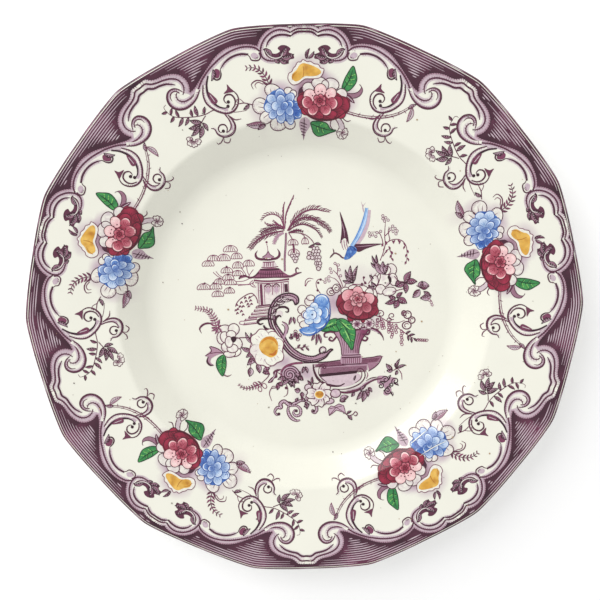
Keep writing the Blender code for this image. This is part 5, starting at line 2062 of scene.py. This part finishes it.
def specks(films):
    """Pinholes and iron specks in the glaze, some grey-green and some rusty."""
    begin(level=4)
    for number in range(SPECKS):
        angle, reach = math.tau * rng.random(), SPECK_REACH * math.sqrt(rng.random())
        x, y = reach * math.cos(angle), reach * math.sin(angle)
        size = 0.16 + 0.34 * rng.random() ** 3
        colour = SPECK_COLOURS[number % len(SPECK_COLOURS)]
        spot = oval(x, y, size, size * (0.7 + 0.3 * rng.random()), 180 * rng.random(), gap=0.15)[:-1]
        patch(films["print"], spot, layer=0, colour=colour, cell=FLAT)


def scratches(films):
    """Two old knife marks through the lower right bouquet, which cut through the enamel."""
    begin(level=5)
    pen = Pen(films)
    for route, width in (
        ([(55, -75.2), (62, -70.8), (69, -67.4)], 0.42),
        ([(50.4, -70.8), (55.5, -66.6), (59.8, -63)], 0.4),
    ):
        pen.line(route, width, layer=9, start=0.2, end=0.2, colour=GLAZE, film="blue")


# ---------------------------------------------------------------- materials

def shader(name):
    """A material, its node tree's nodes and links, and its Principled shader."""
    material = bpy.data.materials.new(name)
    material.use_nodes = True
    nodes, links = material.node_tree.nodes, material.node_tree.links
    return material, nodes, links, nodes["Principled BSDF"]


def surface(name, roughness, ripple, patchiness, grain):
    """Tinted glaze or colour: the drawn tint, uneven by a little, under a faintly rippled gloss."""
    material, nodes, links, principled = shader(name)
    tint = nodes.new("ShaderNodeVertexColor")
    tint.layer_name = "tint"
    where = nodes.new("ShaderNodeTexCoord")
    mottle = nodes.new("ShaderNodeTexNoise")
    mottle.inputs["Scale"].default_value = grain
    mottle.inputs["Detail"].default_value = 4.0
    links.new(where.outputs["Object"], mottle.inputs["Vector"])
    level = nodes.new("ShaderNodeMapRange")
    level.inputs["From Min"].default_value = 0.3
    level.inputs["From Max"].default_value = 0.7
    level.inputs["To Min"].default_value = 1 - patchiness
    level.inputs["To Max"].default_value = 1 + patchiness
    links.new(mottle.outputs["Fac"], level.inputs["Value"])
    mix = nodes.new("ShaderNodeVectorMath")
    mix.operation = "SCALE"
    links.new(tint.outputs["Color"], mix.inputs[0])
    links.new(level.outputs["Result"], mix.inputs["Scale"])
    links.new(mix.outputs["Vector"], principled.inputs["Base Color"])
    waves = nodes.new("ShaderNodeTexNoise")
    waves.inputs["Scale"].default_value = 160.0
    waves.inputs["Detail"].default_value = 2.0
    links.new(where.outputs["Object"], waves.inputs["Vector"])
    bump = nodes.new("ShaderNodeBump")
    bump.inputs["Strength"].default_value = ripple
    bump.inputs["Distance"].default_value = 0.0002
    links.new(waves.outputs["Fac"], bump.inputs["Height"])
    links.new(bump.outputs["Normal"], principled.inputs["Normal"])
    principled.inputs["Roughness"].default_value = roughness
    principled.inputs["IOR"].default_value = 1.5
    return material


POINTS_PER_SIDE = 36          # of each ring of the plate's own surface
LIP_SHADE_REACH = 132.2            # mm from the axis at which the painted brown shade on the rim's lip starts
LIP_SHADE_HEIGHT = 18.6            # mm above the base at which it starts
# Painted shade: a grey-brown laid on the outer side of the rim's lip to stand in for its shading.
LIP_SHADE_BROWN = linear(104, 84, 84)


def glazed_body():
    """The plate itself: fine rings of the same section, sides and foot as the CAD."""
    section = np.array([*under_profile(), *top_profile()])
    around = SIDES * POINTS_PER_SIDE
    angles = np.arange(around) * math.tau / around
    hoops = [np.column_stack([at_rim(r, angles), np.full(around, z)]) for r, z in section[1:-1]]
    points = np.vstack([[(0, 0, section[0][1])], *hoops, [(0, 0, section[-1][1])]])
    faces = []
    i = np.arange(around)
    j = (i + 1) % around
    for hoop in range(len(hoops) - 1):
        low, high = 1 + hoop * around, 1 + (hoop + 1) * around
        faces += np.column_stack([i + low, j + low, j + high, i + high]).tolist()
    faces += [(0, int(b) + 1, int(a) + 1) for a, b in zip(i, j)]
    top = len(points) - 1
    last = 1 + (len(hoops) - 1) * around
    faces += [(top, int(a) + last, int(b) + last) for a, b in zip(i, j)]
    mesh = bpy.data.meshes.new("glazed_body")
    mesh.from_pydata((points * MM).tolist(), [], faces)
    mesh.shade_smooth()
    mesh.set_sharp_from_angle(angle=math.radians(50))
    attribute = mesh.color_attributes.new("tint", "FLOAT_COLOR", "POINT")
    colours = body_colour(points)
    attribute.data.foreach_set("color", np.column_stack([colours, np.ones(len(points))]).ravel())
    mesh.materials.append(surface("cream_glaze", roughness=0.16, ripple=0.06, patchiness=0.012, grain=60.0))
    body = bpy.data.objects.new("glazed_body", mesh)
    bpy.context.scene.collection.objects.link(body)
    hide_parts("plate_body")
    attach(body, "root")


def body_colour(points):
    """The glaze's colour at each point: cream, clouded by the washes, and darkened with painted brown shade
    on the rim's lip.
    """
    x, y, z = points.T
    reach = turned_radius(x, y)
    flat = points[:, :2]
    tone = np.zeros(len(points))
    for centre, rx, ry, turn, strength in WASHES:
        far = flat - centre
        u = (far[:, 0] * math.cos(turn) + far[:, 1] * math.sin(turn)) / rx
        v = (far[:, 1] * math.cos(turn) - far[:, 0] * math.sin(turn)) / ry
        tone += strength * np.clip(1 - np.sqrt(u * u + v * v), 0, 1) ** 0.8
    tone = np.where(z > surface_height(x, y) - 0.5, np.minimum(tone, 0.6), 0)
    tone *= 0.75 + 0.5 * wander(flat, 4, 2)
    colour = ink(tone) * (1 - 0.02 * wander(flat, 30, 5)[:, None])
    # Painted shade: past this reach and height the lip is darkened towards brown, unevenly.
    edge = np.clip((reach - LIP_SHADE_REACH) / 0.4, 0, 1) * np.clip(z - LIP_SHADE_HEIGHT, 0, 1)
    lip_shade = (0.6 + 0.4 * wander(flat, 7, 9)) * edge
    return colour + (LIP_SHADE_BROWN - colour) * 0.85 * lip_shade[:, None]


# ---------------------------------------------------------------- floor, light and camera

PAPER = (0.93, 0.93, 0.93, 1)
PAPER_GLOW = 0.12
FLOOR_SIZE = 6                # m
FLOOR_DROP = 0.0002           # m by which the floor lies below the foot
ROOM_LIGHT = 0.77
WINDOW_PLACE = (-0.75, 0.85, 0.72)
WINDOW_SIZE = 1.1             # m
WINDOW_POWER = 13.0           # W


def studio():
    """White paper, an even room and one large window at the upper left."""
    material, _, _, principled = shader("paper")
    principled.inputs["Base Color"].default_value = PAPER
    principled.inputs["Roughness"].default_value = 0.9
    principled.inputs["Emission Color"].default_value = (1, 1, 1, 1)
    principled.inputs["Emission Strength"].default_value = PAPER_GLOW
    bpy.ops.mesh.primitive_plane_add(size=FLOOR_SIZE, location=(0, 0, -FLOOR_DROP))
    floor = bpy.context.object
    floor.name = "floor"
    floor.data.materials.append(material)
    world = bpy.data.worlds.new("room")
    world.use_nodes = True
    world.node_tree.nodes["Background"].inputs["Color"].default_value = (1, 1, 1, 1)
    world.node_tree.nodes["Background"].inputs["Strength"].default_value = ROOM_LIGHT
    bpy.context.scene.world = world
    light = bpy.data.lights.new("window", "AREA")
    light.size = WINDOW_SIZE
    light.energy = WINDOW_POWER
    lamp = bpy.data.objects.new("window", light)
    lamp.location = WINDOW_PLACE
    lamp.rotation_euler = (-lamp.location).to_track_quat("-Z", "Y").to_euler()
    bpy.context.scene.collection.objects.link(lamp)
    bpy.context.scene.view_settings.view_transform = "Standard"


PHASE = 2.01                  # degrees that the plate stands turned from square in the picture
VIEW_ANGLE = 49.74            # degrees
TILTS = (7.49, 0.67, -0.30)   # degrees that the camera is turned about x, then y, then z
EYE = (-0.0062, 0.0455, 0.3036)  # m from the middle of the rim's plane


def turn_about(axis, degrees):
    """A rotation matrix about one of the axes, which are numbered from 0 for x."""
    c, s = math.cos(math.radians(degrees)), math.sin(math.radians(degrees))
    first, second = (axis + 1) % 3, (axis + 2) % 3
    matrix = np.eye(3)
    matrix[first, first] = matrix[second, second] = c
    matrix[second, first] = s
    matrix[first, second] = -s
    return matrix


def camera():
    """Almost straight down, from a little above the plate's centre line in the picture."""
    spot = bpy.data.cameras.new("camera")
    spot.angle = math.radians(VIEW_ANGLE)
    eye = bpy.data.objects.new("camera", spot)
    rx, ry, rz = (turn_about(axis, degrees) for axis, degrees in enumerate(TILTS))
    turn = turn_about(2, -PHASE)
    facing = turn @ (rz @ ry @ rx).T
    place = turn @ np.array(EYE) + (0, 0, RIM_HEIGHT * MM)
    matrix = np.eye(4)
    matrix[:3, :3] = facing
    matrix[:3, 3] = place
    eye.matrix_world = Matrix(matrix.tolist())
    bpy.context.scene.collection.objects.link(eye)
    bpy.context.scene.camera = eye


# ---------------------------------------------------------------- the whole plate

COLOURS = ("print", "crimson", "blue", "green", "ochre")
WELL_REDNESS = 0.45           # the well's print is a redder purple than the border's


def film_set(place, redness=0.0):
    """One empty film for each colour in this part of the decoration. Only the print takes the redness."""
    return {name: Film(f"{place}_{name}", redness if name == "print" else 0.0) for name in COLOURS}


def fire(sets):
    """Turns every film into a piece. Both parts of the decoration share one material for each colour."""
    for name in COLOURS:
        if name == "print":
            slot = "purple_print"
            material = surface(slot, roughness=0.2, ripple=0.05, patchiness=0.1, grain=900.0)
        else:
            slot = f"{name}_enamel"
            material = surface(slot, roughness=0.24, ripple=0.1, patchiness=0.1, grain=700.0)
        for films in sets:
            films[name].build(material, slot)


border, well = film_set("border"), film_set("well", WELL_REDNESS)
border_frame(border)
border_sprays(border)
well_picture(well)
specks(well)
scratches(border)
glazed_body()
fire((border, well))
studio()
camera()
